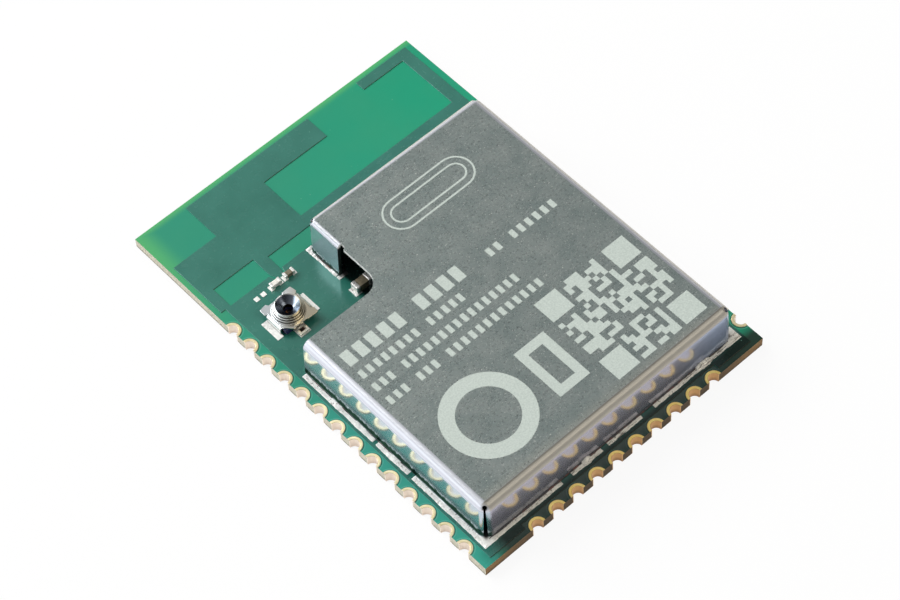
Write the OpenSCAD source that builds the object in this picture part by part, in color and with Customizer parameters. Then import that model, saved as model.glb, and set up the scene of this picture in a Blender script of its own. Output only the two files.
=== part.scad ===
// Surface-mount wireless radio module: a small board with plated half-hole
// terminals on three edges, an etched antenna on the free end, a folded metal
// shield can over the radio parts, and a coaxial test connector beside a notch
// in the can.
//
// Millimetres. X runs across the board, Y towards the antenna end and Z up from
// the underside. The origin is the middle of the underside.

/* [Board] */
// Width of the board, across the two side rows of terminals
board_w = 18; // [17.5:0.25:22]
// Length of the board, from the front row of terminals to the antenna end
board_l = 25.5; // [25:0.5:30]
// Thickness of the laminate
board_t = 0.6; // [0.5:0.1:1.2]
// Thickness of an outer copper layer with its solder mask
copper_t = 0.04; // [0.03:0.005:0.06]
// Thickness of the solder on a tinned land
tin_t = 0.03; // [0.02:0.01:0.05]

/* [Terminals] */
// Distance between the centres of neighbouring terminals
pitch = 1.27; // [1.2:0.01:1.3]
// Terminals on each side edge
side_count = 14; // [4:1:14]
// Terminals on the front edge
front_count = 10; // [4:1:10]
// Distance from the front edge to the centre of the first side terminal
row_start = 1.48; // [1.3:0.02:1.9]
// Radius of a half hole inside its plating
hole_r = 0.3; // [0.2:0.02:0.36]
// Thickness of the plating in a half hole
plating_t = 0.04; // [0.02:0.01:0.05]
// Width of the ring of copper round a half hole
ring_w = 0.15; // [0.1:0.01:0.18]
// Length of a terminal's land on the underside
foot_l = 1.2; // [0.8:0.1:2]

/* [Ground pads] */
// Side of one square pad in the block on the underside
pad_side = 1.33; // [0.8:0.01:1.5]
// Gap between neighbouring pads
pad_gap = 0.5; // [0.2:0.05:0.8]
// Pads along each side of the block
pad_rows = 3; // [1:1:3]
// Distance from the front edge to the middle of the block
pad_centre = 9.6; // [6:0.1:12]

/* [Antenna] */
// Bare laminate between the ground copper and a terminal edge
pour_margin = 0.55; // [0.5:0.01:0.65]
// Bare laminate between the antenna and the end of the board
antenna_margin = 0.3; // [0.2:0.05:0.6]
// Width of the long arm beside the end of the board
arm_w = 1.52; // [1:0.02:2]
// Length of the long arm
arm_l = 8; // [5:0.1:9]
// Width of the stem that joins the long arm to the ground copper
stem_w = 3.82; // [2.5:0.02:4]
// Length of the bare window in the antenna's left corner, along the end
corner_window_l = 3; // [2.6:0.1:3.4]
// Depth of that window, from the end of the board
corner_window_d = 2.68; // [2:0.02:3.4]
// Depth of the large window, from the end of the board
window_d = 4.65; // [4:0.05:4.8]
// Width of the strip that closes the large window on the right
strip_w = 0.67; // [0.4:0.01:1]
// Bare laminate outside that strip
strip_margin = 0.37; // [0.2:0.01:0.5]
// Width of the hook at the far corner
hook_w = 0.6; // [0.4:0.05:1]
// Length of the hook along the end of the board
hook_l = 3.35; // [2:0.05:4]
// Length of the short slot left of the feed neck
left_slot_l = 2.53; // [1.5:0.01:2.7]
// Width of that slot
left_slot_w = 1.32; // [0.6:0.01:1.45]
// Length of the short slot right of the feed neck
right_slot_l = 2.9; // [2.2:0.05:3.2]
// Width of that slot
right_slot_w = 0.95; // [0.6:0.01:1.1]
// Distance from the long arm's left end to the feed neck
neck_from_arm = 0.4; // [0.2:0.01:0.5]
// Width of the feed neck between the two slots
neck_w = 0.65; // [0.4:0.01:0.8]
// Width of the feed neck where it meets its first chip
neck_tip_w = 0.2; // [0.15:0.01:0.3]
// Width of the etched gap beside the tapered neck
etch_gap = 0.09; // [0.08:0.01:0.15]

/* [Shield can] */
// Height of the can's walls, with the top
can_h = 2.43; // [1.8:0.05:3.5]
// Thickness of the sheet
sheet_t = 0.2; // [0.12:0.01:0.22]
// Outer radius of the bends and of the upright corners
bend_r = 0.3; // [0.26:0.01:0.4]
// Distance from a side edge of the board to the can
can_side_gap = 1.05; // [1:0.05:1.5]
// Distance from the front edge of the board to the can
can_front_gap = 1; // [0.95:0.05:1.5]
// Distance from the antenna end of the board to the can
can_back_gap = 6.65; // [6.5:0.05:8]
// Width of the notch, from the can's left wall to the free edge
notch_w = 4.95; // [4.8:0.05:6]
// Length of the notch, from the can's back wall to the free edge
notch_l = 5.17; // [5:0.05:6.5]
// Radius of the notch's inside corner
notch_r = 0.9; // [0.5:0.05:1.4]
// Distance by which the free edge stands out from the bend of the short wall
notch_lip = 0.19; // [0.1:0.01:0.2]
// Length of the short wall on the notch
stub_l = 2.2; // [1.5:0.05:2.8]
// Width of the rounded relief at the short wall's end
relief_w = 0.36; // [0.24:0.02:0.5]
// Diameter of the round relief at the top of each corner slit
keyhole_d = 0.28; // [0.2:0.01:0.36]
// Width of a corner slit at its top
slit_top_w = 0.1; // [0.06:0.01:0.14]
// Width of a corner slit at its foot
slit_foot_w = 0.24; // [0.16:0.01:0.3]

/* [Solder seam] */
// Width of the seam outside the can
seam_out = 0.26; // [0.2:0.01:0.3]
// Width of the seam inside the can
seam_in = 0.15; // [0.1:0.01:0.2]
// Height of the solder fillet up the can
fillet_h = 0.16; // [0.1:0.01:0.2]

/* [Coaxial connector] */
// Side of the connector's square flange
coax_side = 2.05; // [1.9:0.05:2.2]
// Distance from the left edge of the board to the connector's axis
coax_from_left = 2.55; // [2.5:0.05:2.7]
// Distance from the can's back wall to the connector's axis
coax_from_back = 2.13; // [2:0.01:2.4]
// Height of the connector above its lands
coax_h = 0.93; // [0.85:0.01:1.2]
// Thickness of the shell's sheet
coax_sheet = 0.1; // [0.08:0.01:0.12]
// Outer radius of the mouth
mouth_r = 0.66; // [0.6:0.01:0.7]
// Radius of the bore at the bottom of the funnel
bore_r = 0.25; // [0.2:0.01:0.3]
// Height of the plastic base
base_h = 0.36; // [0.3:0.01:0.42]

/* [Chips] */
// Length, width and height of the small chips at the antenna's feed
feed_chip = [0.62, 0.3, 0.28]; // [0.2:0.01:0.7]
// Distance from the slots of the antenna to the row of chips at its feed
feed_depth = 0.62; // [0.5:0.01:0.65]
// Distance between the middles of the two chips at the feed
feed_chip_step = 0.85; // [0.8:0.01:0.95]
// Side of a bare pad at the feed
bare_pad = 0.26; // [0.2:0.01:0.3]
// Gap between a chip's end and the first bare pad
bare_pad_gap = 0.34; // [0.2:0.01:0.4]
// Distance between the middles of the two bare pads
bare_pad_step = 0.42; // [0.38:0.01:0.5]
// Length, width and height of the capacitor in the notch
notch_chip = [1, 0.52, 0.5]; // [0.4:0.01:1.1]
// Distance from the can's back wall to that capacitor
notch_chip_depth = 3.3; // [3:0.05:3.6]
// Length of a chip's end cap, as a share of the chip's length
cap_share = 0.24; // [0.15:0.01:0.3]

/* [Inner parts] */
// Side of the radio processor
soc_side = 7; // [6:0.1:8]
// Height of the radio processor
soc_h = 0.85; // [0.5:0.05:1.2]
// Length, width and height of the flash memory
flash_size = [3, 4, 0.6]; // [0.4:0.1:4]
// Length, width and height of the main crystal
crystal_size = [2, 1.6, 0.5]; // [0.4:0.1:2.2]
// Length, width and height of the clock crystal
clock_size = [1, 1.6, 0.45]; // [0.4:0.05:1.8]
// Length, width and height of a power inductor
inductor_size = [2, 1.6, 1]; // [0.6:0.1:2.2]
// Length, width and height of the band filter
filter_size = [1.6, 0.9, 0.55]; // [0.4:0.05:1.8]
// Length, width and height of a decoupling capacitor
small_chip = [1, 0.5, 0.5]; // [0.3:0.05:1.2]
// Length, width and height of a resistor
resistor_chip = [0.6, 0.3, 0.26]; // [0.2:0.02:0.8]
// Gap between two parts beside each other
part_gap = 0.8; // [0.5:0.05:1]
// Gap between the ends of two chips in a row
chip_gap = 0.4; // [0.3:0.05:0.6]

/* [Hidden] */
$fn = 48;
// Depth by which cutting shapes run past the faces they open
over = 0.5;
// Smallest step that keeps two faces from being tangent
step = 0.01;

x_edge = board_w / 2;
y_end = board_l / 2;
y_front = -board_l / 2;

// Levels: top of the masked copper, and top of a tinned land
z_mask = board_t + copper_t;
z_tin = z_mask + tin_t;

// Terminals
drill_r = hole_r + plating_t;
ring_r = hole_r + ring_w;

// Can: the outer faces of its walls, its foot and its top
can_x = x_edge - can_side_gap;
can_yf = y_front + can_front_gap;
can_yb = y_end - can_back_gap;
can_z0 = z_tin;
can_z1 = z_tin + can_h;
stub_x = -can_x + notch_w - bend_r + notch_lip;
free_x = -can_x + notch_w;
free_y = can_yb - notch_l;
stub_end = can_yb - stub_l;

// Gaps in the solder seams: middle and width, measured along each wall.
// Those of a side wall are measured from the middle of the board's length.
side_gaps = [[-6.76, 0.3]];
front_gaps = [[-3.07, 0.64], [-0.63, 0.4], [2.17, 0.8]];
back_gaps = [[0.6, 0.5], [4.4, 0.4]];
// Length of the separate drop of solder at the short wall's end
drop_l = 0.23;

// Antenna and ground copper
ant_y = y_end - antenna_margin;
arm_x0 = -x_edge + corner_window_l;
stem_x1 = arm_x0 + stem_w;
strip_x1 = x_edge - strip_margin;
// Bare laminate left of the antenna
left_margin = 0.27;
// Copper between the can's back seam and the slots
slot_margin = 0.04;
slot_bottom = can_yb + seam_out + slot_margin;
neck_x0 = arm_x0 + neck_from_arm;
// Sideways lean of the neck's tip
neck_lean = 0.075;
tip_x0 = neck_x0 + (neck_w - neck_tip_w) / 2 + neck_lean;
// Patches of ground copper in the two front corners
patch_l = 2.2;
patch_margin = 0.27;

// Solder: room left bare at a seam's free end, and the gap before the drop
seam_stop = 0.05;
drop_gap = 0.05;
// Length of a corner's land along each wall, from the wall's outer face
seam_corner_l = max(bend_r, sheet_t + seam_in);

// Connector
coax_x = -x_edge + coax_from_left;
coax_y = can_yb - coax_from_back;
coax_top = z_tin + coax_h;
flange_z = z_mask + base_h;
// Lands of the two folded sides: size, and how far they reach under the sheet
ground_land = [0.37, 1.28];
land_under = 0.06;
// Distance by which the folded sides and the reliefs sit nearer than the axis
fold_shift = 0.1;
fold_l = 1.2;
// Recess in the flange's near edge, over the signal contact
recess_l = 1.16;
recess_d = 0.34;
recess_shift = 0.08;
// Small round reliefs beside the flange's corner tabs
tab_relief_d = 0.14;
// Outer radius of the bends where the two sides fold down
fold_r = coax_sheet + 0.05;
// Plastic base: set back from the flange's near and far edges, clear of the
// folded sides, with a chamfered upper edge and a step over the contact
base_near = 0.15;
base_far = 0.1;
base_clearance = 0.06;
base_chamfer = 0.14;
base_step = [0.2, 0.16];
// Signal contact: its size and window, and its middle seen from the axis
clip_size = [0.56, 0.56, 0.12];
clip_hole = [0.3, 0.24];
clip_at = [-0.1, -coax_side / 2 - 0.035];
clip_land = clip_size[0] + 0.08;
clip_clearance = 0.03;
pin_h = 0.2;

// Chips: land under an end cap, how far it stands out past the cap's end, and how
// far a ceramic body stands inside its caps
feed_pad = [0.26, 0.34];
feed_pad_out = 0.09;
notch_pad = [0.42, 0.58];
notch_pad_out = 0.13;
body_inset = 0.02;
feed_y = slot_bottom - feed_depth;
// The first chip's left end starts just left of the middle of the neck's tip
tip_overlap = 0.04;
feed_x = tip_x0 + neck_tip_w / 2 - tip_overlap + feed_chip[0] / 2;
// Distance of the notch capacitor's middle inside the notch's free edge
notch_chip_in = 0.22;

// Inner parts: the middle of the processor, and the columns on its two sides
room_x = can_x - sheet_t - seam_in;
soc_shift_x = 0.6;
soc_shift_y = 0.4;
soc_x = soc_shift_x;
soc_y = (can_yf + free_y) / 2 + soc_shift_y;
left_column_x = (soc_x - soc_side / 2 - room_x) / 2;
right_column_x = (soc_x + soc_side / 2 + room_x) / 2;
column_margin = 1;
column_y0 = can_yf + sheet_t + column_margin;
processor_rim = 0.2;
crystal_rim = 0.12;

// ---------------------------------------------------------------- terminals

// Section of a plated half hole: the barrel with its ring on the upper side
module terminal_section() {
    square([plating_t, z_mask]);
    translate([0, board_t])
        square([ring_w, copper_t]);
}

// One terminal, for an edge that faces -Y and passes through the origin
module terminal() {
    difference() {
        union() {
            rotate_extrude(angle = 180)
                translate([hole_r, 0])
                    terminal_section();
            foot();
        }
        cylinder(r = hole_r, h = 4 * board_t, center = true);
    }
}

// Land of a terminal on the underside
module foot() {
    translate([-ring_r, 0, 0])
        cube([2 * ring_r, foot_l, copper_t]);
}

// What one terminal takes out of the laminate
module terminal_cut() {
    cylinder(r = drill_r, h = 4 * board_t, center = true);
    translate([0, -over, 0])
        translate([-ring_r, 0, -over])
            cube([2 * ring_r, foot_l + over, copper_t + over]);
}

module along_left() {
    for (i = [0 : side_count - 1])
        translate([-x_edge, y_front + row_start + i * pitch, 0])
            rotate(-90)
                children();
}

module along_front() {
    for (i = [0 : front_count - 1])
        translate([(i - (front_count - 1) / 2) * pitch, y_front, 0])
            children();
}

module along_right() {
    for (i = [0 : side_count - 1])
        translate([x_edge, y_front + row_start + i * pitch, 0])
            rotate(90)
                children();
}

module terminals_left() {
    color("gold") along_left() terminal();
}

module terminals_front() {
    color("gold") along_front() terminal();
}

module terminals_right() {
    color("gold") along_right() terminal();
}

// -------------------------------------------------------------------- board

module each_ground_pad() {
    span = (pad_rows - 1) / 2;
    for (i = [-span : span], j = [-span : span])
        translate([i * (pad_side + pad_gap), y_front + pad_centre + j * (pad_side + pad_gap), 0])
            children();
}

module ground_pads() {
    color("gold")
        each_ground_pad()
            translate([-pad_side / 2, -pad_side / 2, 0])
                cube([pad_side, pad_side, copper_t]);
}

module board() {
    color("seagreen")
        difference() {
            translate([-x_edge, y_front, 0])
                cube([board_w, board_l, board_t]);
            along_left() terminal_cut();
            along_front() terminal_cut();
            along_right() terminal_cut();
            each_ground_pad()
                translate([-pad_side / 2, -pad_side / 2, -over])
                    cube([pad_side, pad_side, copper_t + over]);
        }
}

// Outline of the upper copper: the antenna's arm, stem, strip and hook, and the
// ground copper below them
module copper_outline() {
    x_pour = x_edge - pour_margin;
    y_pour = y_front + pour_margin;
    y_patch = y_front + patch_margin;
    polygon([
        // Long arm and stem, then round the large window to the hook
        [arm_x0, ant_y],
        [arm_x0 + arm_l, ant_y],
        [arm_x0 + arm_l, ant_y - arm_w],
        [stem_x1, ant_y - arm_w],
        [stem_x1, y_end - window_d],
        [strip_x1 - strip_w, y_end - window_d],
        [strip_x1 - strip_w, ant_y - hook_w],
        [strip_x1 - hook_l, ant_y - hook_w],
        [strip_x1 - hook_l, ant_y],
        [strip_x1, ant_y],
        // Ground copper, with a patch in each front corner
        [strip_x1, slot_bottom],
        [x_pour, slot_bottom],
        [x_pour, y_patch],
        [x_pour - patch_l, y_patch],
        [x_pour - patch_l, y_pour],
        [patch_l - x_pour, y_pour],
        [patch_l - x_pour, y_patch],
        [-x_pour, y_patch],
        [-x_pour, slot_bottom],
        [left_margin - x_edge, slot_bottom],
        [left_margin - x_edge, y_end - corner_window_d],
        [arm_x0, y_end - corner_window_d]
    ]);
}

// Etched gap on one side of the tapered neck, from its foot to its tip
module neck_gap(x_foot, x_tip, side) {
    polygon([
        [x_foot, slot_bottom + step],
        [x_foot + side * etch_gap, slot_bottom + step],
        [x_tip + side * etch_gap, feed_y],
        [x_tip, feed_y]
    ]);
}

module top_copper() {
    color("darkslategray")
        translate([0, 0, board_t])
            linear_extrude(copper_t)
                difference() {
                    copper_outline();
                    translate([neck_x0 - left_slot_l, slot_bottom])
                        square([left_slot_l, left_slot_w]);
                    translate([neck_x0 + neck_w, slot_bottom])
                        square([right_slot_l, right_slot_w]);
                    neck_gap(neck_x0, tip_x0, -1);
                    neck_gap(neck_x0 + neck_w, tip_x0 + neck_tip_w, 1);
                }
}

// --------------------------------------------------------------- shield can

// Section of a wall with its bend and the start of the top: X runs inwards from
// the wall's outer face, Y upwards from its foot
module wall_section() {
    square([sheet_t, can_h - bend_r]);
    translate([bend_r, can_h - bend_r])
        difference() {
            intersection() {
                circle(r = bend_r);
                translate([-bend_r, 0])
                    square(bend_r);
            }
            circle(r = bend_r - sheet_t);
        }
}

// A straight wall along +Y from the origin, its outer face on X = 0
module wall(length) {
    translate([0, length, 0])
        rotate([90, 0, 0])
            linear_extrude(length)
                wall_section();
}

// A rounded upright corner: a quarter turn of the same section about its axis
module corner() {
    rotate_extrude(angle = 90)
        translate([bend_r, 0])
            mirror([1, 0])
                wall_section();
}

// Flat top inside the bends, with the free edges of the notch
module top_plate() {
    difference() {
        polygon([
            [-can_x + bend_r, can_yf + bend_r],
            [can_x - bend_r, can_yf + bend_r],
            [can_x - bend_r, can_yb - bend_r],
            [stub_x + bend_r, can_yb - bend_r],
            [stub_x + bend_r, stub_end],
            [free_x, stub_end],
            [free_x, free_y + notch_r],
            [free_x - notch_r, free_y + notch_r],
            [free_x - notch_r, free_y],
            [-can_x + bend_r, free_y]
        ]);
        translate([free_x - notch_r, free_y + notch_r])
            circle(r = notch_r);
        translate([free_x, stub_end - relief_w / 2])
            circle(r = relief_w / 2);
        translate([free_x - relief_w, stub_end - relief_w / 2])
            square([relief_w, relief_w / 2 + step]);
    }
}

// Slit through an upright corner that faces (-1, -1): it widens downwards from a
// round relief under the top
module corner_slit() {
    z_hole = can_h - bend_r;
    rotate([90, 0, 135])
        linear_extrude(4 * bend_r, center = true)
            union() {
                polygon([
                    [-slit_foot_w / 2, -over],
                    [slit_foot_w / 2, -over],
                    [slit_top_w / 2, z_hole],
                    [-slit_top_w / 2, z_hole]
                ]);
                translate([0, z_hole])
                    circle(d = keyhole_d);
            }
}

// The four upright corners: place, and turn from the one that faces (-1, -1)
can_corners = [
    [[-can_x, can_yf], 0],
    [[can_x, can_yf], 90],
    [[can_x, can_yb], 180],
    [[stub_x, can_yb], 270]
];

module at_corner(c) {
    translate([c[0][0], c[0][1], can_z0])
        rotate(c[1])
            children();
}

module shield_can() {
    front_l = 2 * (can_x - bend_r);
    right_l = can_yb - can_yf - 2 * bend_r;
    color("silver")
        difference() {
            union() {
                translate([0, 0, can_z1 - sheet_t])
                    linear_extrude(sheet_t)
                        top_plate();
                translate([-can_x, can_yf + bend_r, can_z0])
                    wall(free_y - can_yf - bend_r);
                translate([can_x - bend_r, can_yf, can_z0])
                    rotate(90)
                        wall(front_l);
                translate([can_x, can_yb - bend_r, can_z0])
                    rotate(180)
                        wall(right_l);
                translate([stub_x + bend_r, can_yb, can_z0])
                    rotate(-90)
                        wall(can_x - stub_x - 2 * bend_r);
                translate([stub_x, stub_end, can_z0])
                    wall(stub_l - bend_r);
                for (c = can_corners)
                    at_corner(c)
                        translate([bend_r, bend_r, 0])
                            rotate(180)
                                corner();
            }
            for (c = can_corners)
                at_corner(c)
                    translate([bend_r / 2, bend_r / 2, 0])
                        corner_slit();
        }
}

// ------------------------------------------------------------- solder seams

// Section of a seam: the tinned land, and the fillet outside the wall. X runs
// inwards from the wall's outer face, Y upwards from the masked copper.
module seam_section() {
    translate([-seam_out, 0])
        square([seam_out + sheet_t + seam_in, tin_t]);
    translate([0, tin_t])
        difference() {
            translate([-fillet_h - step, -tin_t / 2])
                square([fillet_h + step, fillet_h + tin_t / 2]);
            translate([-fillet_h - step, fillet_h + step])
                circle(r = fillet_h);
        }
}

// A seam along +Y from y0 to y1, beside a wall whose outer face is on X = 0
module seam(y0, y1) {
    translate([0, y1, z_mask])
        rotate([90, 0, 0])
            linear_extrude(y1 - y0)
                seam_section();
}

// The stretches of a seam from y0 to y1 that its gaps leave
module seam_run(y0, y1, gaps) {
    starts = concat([y0], [for (g = gaps) g[0] + g[1] / 2]);
    ends = concat([for (g = gaps) g[0] - g[1] / 2], [y1]);
    for (i = [0 : len(gaps)])
        seam(starts[i], ends[i]);
}

// Land under a rounded corner of the can, for the corner that faces (-1, -1)
module seam_corner() {
    reach = seam_out + seam_corner_l;
    translate([-seam_out, -seam_out, z_mask])
        cube([reach, reach, tin_t]);
}

module seam_left() {
    color("gainsboro")
        translate([-can_x, 0, 0])
            seam_run(can_yf + seam_corner_l, free_y - seam_stop, side_gaps);
}

module seam_right() {
    color("gainsboro")
        translate([can_x, 0, 0])
            mirror([1, 0, 0])
                seam_run(can_yf + seam_corner_l, can_yb - seam_corner_l, side_gaps);
}

module seam_front() {
    color("gainsboro") {
        translate([0, can_yf, 0])
            rotate(90)
                mirror([0, 1, 0])
                    seam_run(-can_x + seam_corner_l, can_x - seam_corner_l, front_gaps);
        translate([-can_x, can_yf, 0])
            seam_corner();
        translate([can_x, can_yf, 0])
            mirror([1, 0, 0])
                seam_corner();
    }
}

module seam_back() {
    color("gainsboro") {
        translate([0, can_yb, 0])
            rotate(-90)
                seam_run(stub_x + seam_corner_l, can_x - seam_corner_l, back_gaps);
        translate([can_x, can_yb, 0])
            rotate(180)
                seam_corner();
    }
}

module seam_notch() {
    color("gainsboro") {
        translate([stub_x, 0, 0])
            seam_run(stub_end + 2 * seam_stop, can_yb - seam_corner_l, []);
        translate([stub_x, can_yb, 0])
            mirror([0, 1, 0])
                seam_corner();
        translate([stub_x - seam_out, stub_end + 2 * seam_stop - drop_gap - drop_l, z_mask])
            cube([seam_out + sheet_t, drop_l, tin_t]);
    }
}

// -------------------------------------------------------- coaxial connector

module at_coax(z) {
    translate([coax_x, coax_y, z])
        children();
}

module coax_lands() {
    land_x = coax_side / 2 - land_under + ground_land[0] / 2;
    color("gainsboro")
        at_coax(z_mask + tin_t / 2) {
            for (side = [-1, 1])
                translate([side * land_x, -fold_shift, 0])
                    cube([ground_land[0], ground_land[1], tin_t], center = true);
            translate(clip_at)
                cube([clip_land, clip_land, tin_t], center = true);
        }
}

// Outline of the base, seen along X from its near side
module base_section() {
    depth = coax_side - base_near - base_far;
    polygon([
        [base_step[0], 0],
        [depth, 0],
        [depth, base_h],
        [base_chamfer, base_h],
        [0, base_h - base_chamfer],
        [0, base_step[1]],
        [base_step[0], base_step[1]]
    ]);
}

// Plastic base, with room for the contact and for the lands of the two sides
module coax_base() {
    half = coax_side / 2;
    width = coax_side - 2 * (coax_sheet + base_clearance);
    land_room = ground_land[1] + 2 * clip_clearance;
    cut_w = clip_land + 2 * clip_clearance;
    cut_y = clip_at[1] + clip_land / 2 + clip_clearance;
    color("midnightblue")
        at_coax(z_mask)
            difference() {
                translate([-width / 2, base_near - half, 0])
                    rotate([90, 0, 90])
                        linear_extrude(width)
                            base_section();
                cylinder(r = bore_r, h = 4 * base_h, center = true);
                translate([clip_at[0] - cut_w / 2, -2 * half, -over])
                    cube([cut_w, 2 * half + cut_y, over + base_step[1]]);
                for (side = [-1, 1])
                    translate([side * (half + coax_sheet), -fold_shift, 0])
                        cube([4 * coax_sheet, land_room, 3 * tin_t], center = true);
            }
}

// Flat flange: a square with a recess over the contact and small reliefs
// where the two sides fold down
module flange_outline() {
    half = coax_side / 2;
    difference() {
        square(coax_side, center = true);
        translate([-recess_l / 2 - recess_shift, -half - step])
            square([recess_l, recess_d + step]);
        for (side = [-1, 1], end = [-1, 1])
            translate([side * half, end * (fold_l + tab_relief_d) / 2 - fold_shift])
                circle(d = tab_relief_d);
        circle(r = bore_r);
    }
}

// The flange without its two folded sides, which start at their bends
module flange_inside_bends() {
    half = coax_side / 2;
    far_l = half - fold_l / 2 + fold_shift;
    near_l = half - fold_l / 2 - fold_shift;
    square([coax_side - 2 * fold_r, coax_side], center = true);
    translate([-half, half - far_l])
        square([coax_side, far_l]);
    translate([-half, -half])
        square([coax_side, near_l]);
}

// Barrel, turned: a foot, a collar and a grooved mouth outside, a funnel inside
module barrel_section() {
    h = coax_top - flange_z;
    foot_r = mouth_r + 0.24;
    collar_r = mouth_r + 0.1;
    collar_z = 0.2;
    groove_r = mouth_r - 0.02;
    groove_z = 0.35;
    rim_h = 0.21;
    rim_edge = 0.03;
    rim_w = 0.08;
    funnel_r = bore_r + 0.06;
    polygon([
        [bore_r, 0],
        [foot_r, 0],
        [foot_r, coax_sheet],
        [foot_r - 0.06, coax_sheet + 0.06],
        [collar_r, collar_z],
        [collar_r, groove_z - 0.04],
        [groove_r, groove_z],
        [groove_r, h - rim_h - rim_edge],
        [mouth_r, h - rim_h],
        [mouth_r, h - rim_edge],
        [mouth_r - rim_edge, h],
        [mouth_r - rim_w, h],
        [mouth_r - rim_w - 0.05, h - 0.05],
        [funnel_r, collar_z + 0.02],
        [bore_r, collar_z - 0.06]
    ]);
}

// Side of the shell that folds down from the flange to its land
module fold_section() {
    drop = flange_z - z_tin + coax_sheet - fold_r;
    square([coax_sheet, drop]);
    translate([fold_r, drop])
        difference() {
            intersection() {
                circle(r = fold_r);
                translate([-fold_r, 0])
                    square(fold_r);
            }
            circle(r = fold_r - coax_sheet);
        }
}

module coax_shell() {
    color("silver")
        at_coax(0) {
            translate([0, 0, flange_z])
                linear_extrude(coax_sheet)
                    intersection() {
                        flange_outline();
                        flange_inside_bends();
                    }
            translate([0, 0, flange_z])
                rotate_extrude()
                    barrel_section();
            for (side = [0, 1])
                mirror([side, 0, 0])
                    translate([-coax_side / 2, fold_l / 2 - fold_shift, z_tin])
                        rotate([90, 0, 0])
                            linear_extrude(fold_l)
                                fold_section();
        }
}

// Signal contact: a flat clip with a window, out of the base's near side
module coax_clip() {
    color("burlywood")
        at_coax(z_tin)
            translate([clip_at[0], clip_at[1], clip_size[2] / 2])
                difference() {
                    cube(clip_size, center = true);
                    translate([0, -clip_clearance, 0])
                        cube([clip_hole[0], clip_hole[1], 2 * clip_size[2]], center = true);
                }
}

// Contact at the bottom of the bore
module coax_pin() {
    color("goldenrod")
        at_coax(z_mask)
            cylinder(r = bore_r, h = pin_h);
}

// -------------------------------------------------------------------- chips

// Ceramic body of a chip, along X and standing on the origin's plane
module chip_body(size) {
    body_l = size[0] * (1 - 2 * cap_share);
    translate([-body_l / 2, -size[1] / 2 + body_inset, body_inset])
        cube([body_l, size[1] - 2 * body_inset, size[2] - 2 * body_inset]);
}

// The two metal end caps of a chip
module chip_caps(size) {
    cap_l = size[0] * cap_share;
    for (side = [-1, 1])
        translate([side * (size[0] - cap_l) / 2, 0, size[2] / 2])
            cube([cap_l, size[1], size[2]], center = true);
}

module at_feed(i) {
    translate([feed_x - i * feed_chip_step, feed_y, z_tin])
        children();
}

module feed_pads() {
    first_bare = feed_x - feed_chip_step - feed_chip[0] / 2 - bare_pad_gap - bare_pad / 2;
    pad_x = (feed_chip[0] - feed_pad[0]) / 2 + feed_pad_out;
    color("gainsboro") {
        for (i = [0, 1], side = [-1, 1])
            at_feed(i)
                translate([side * pad_x, 0, -tin_t / 2])
                    cube([feed_pad[0], feed_pad[1], tin_t], center = true);
        for (i = [0, 1])
            translate([first_bare - i * bare_pad_step, feed_y, z_mask + tin_t / 2])
                cube([bare_pad, bare_pad, tin_t], center = true);
    }
}

module feed_capacitor() {
    color("tan") at_feed(0) chip_body(feed_chip);
}

module feed_capacitor_caps() {
    color("lightgray") at_feed(0) chip_caps(feed_chip);
}

module feed_inductor() {
    color("whitesmoke") at_feed(1) chip_body(feed_chip);
}

module feed_inductor_caps() {
    color("lightgray") at_feed(1) chip_caps(feed_chip);
}

module at_notch_chip() {
    translate([free_x + notch_chip_in, can_yb - notch_chip_depth, z_tin])
        children();
}

module notch_pads() {
    pad_x = (notch_chip[0] - notch_pad[0]) / 2 + notch_pad_out;
    color("gainsboro")
        for (side = [-1, 1])
            at_notch_chip()
                translate([side * pad_x, 0, -tin_t / 2])
                    cube([notch_pad[0], notch_pad[1], tin_t], center = true);
}

module notch_capacitor() {
    color("saddlebrown") at_notch_chip() chip_body(notch_chip);
}

module notch_capacitor_caps() {
    color("lightgray") at_notch_chip() chip_caps(notch_chip);
}

// -------------------------------------------------------------- inner parts

module on_board(x, y) {
    translate([x, y, z_mask])
        children();
}

// Sum of the first values of a list
function sum_before(v, count) = count == 0 ? 0 : v[count - 1] + sum_before(v, count - 1);

// Middle of one part of a column, where the parts have these lengths
function column_y(lengths, i) =
    column_y0 + i * part_gap + sum_before(lengths, i) + lengths[i] / 2;

left_column = [flash_size[1], inductor_size[1], inductor_size[1]];
right_column = [clock_size[1], crystal_size[1], resistor_chip[1]];

// A moulded package with a chamfered corner that marks its first terminal
module package(size, mark) {
    x = size[0] / 2;
    y = size[1] / 2;
    linear_extrude(size[2])
        polygon([[-x + mark, -y], [x, -y], [x, y], [-x, y], [-x, -y + mark]]);
}

module radio_processor() {
    color("darkgreen")
        on_board(soc_x, soc_y)
            package([soc_side, soc_side, soc_h / 3], mark = 0.3);
}

module processor_lid() {
    side = soc_side - 2 * processor_rim;
    color("dimgray")
        on_board(soc_x, soc_y)
            translate([0, 0, soc_h / 3])
                package([side, side, 2 * soc_h / 3], mark = 0.5);
}

module flash_memory() {
    color("dimgray")
        on_board(left_column_x, column_y(left_column, 0))
            package(flash_size, mark = 0.2);
}

module crystal_base() {
    color("wheat")
        on_board(right_column_x, column_y(right_column, 1))
            package([crystal_size[0], crystal_size[1], crystal_size[2] / 2], mark = 0.1);
}

module crystal_lid() {
    lid = [crystal_size[0] - 2 * crystal_rim, crystal_size[1] - 2 * crystal_rim, crystal_size[2] / 2];
    color("silver")
        on_board(right_column_x, column_y(right_column, 1))
            translate([0, 0, crystal_size[2] / 2])
                package(lid, mark = 0.1);
}

module clock_crystal() {
    color("silver")
        on_board(right_column_x, column_y(right_column, 0))
            package(clock_size, mark = 0.1);
}

module each_inductor() {
    for (i = [1, 2])
        on_board(left_column_x, column_y(left_column, i))
            children();
}

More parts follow.
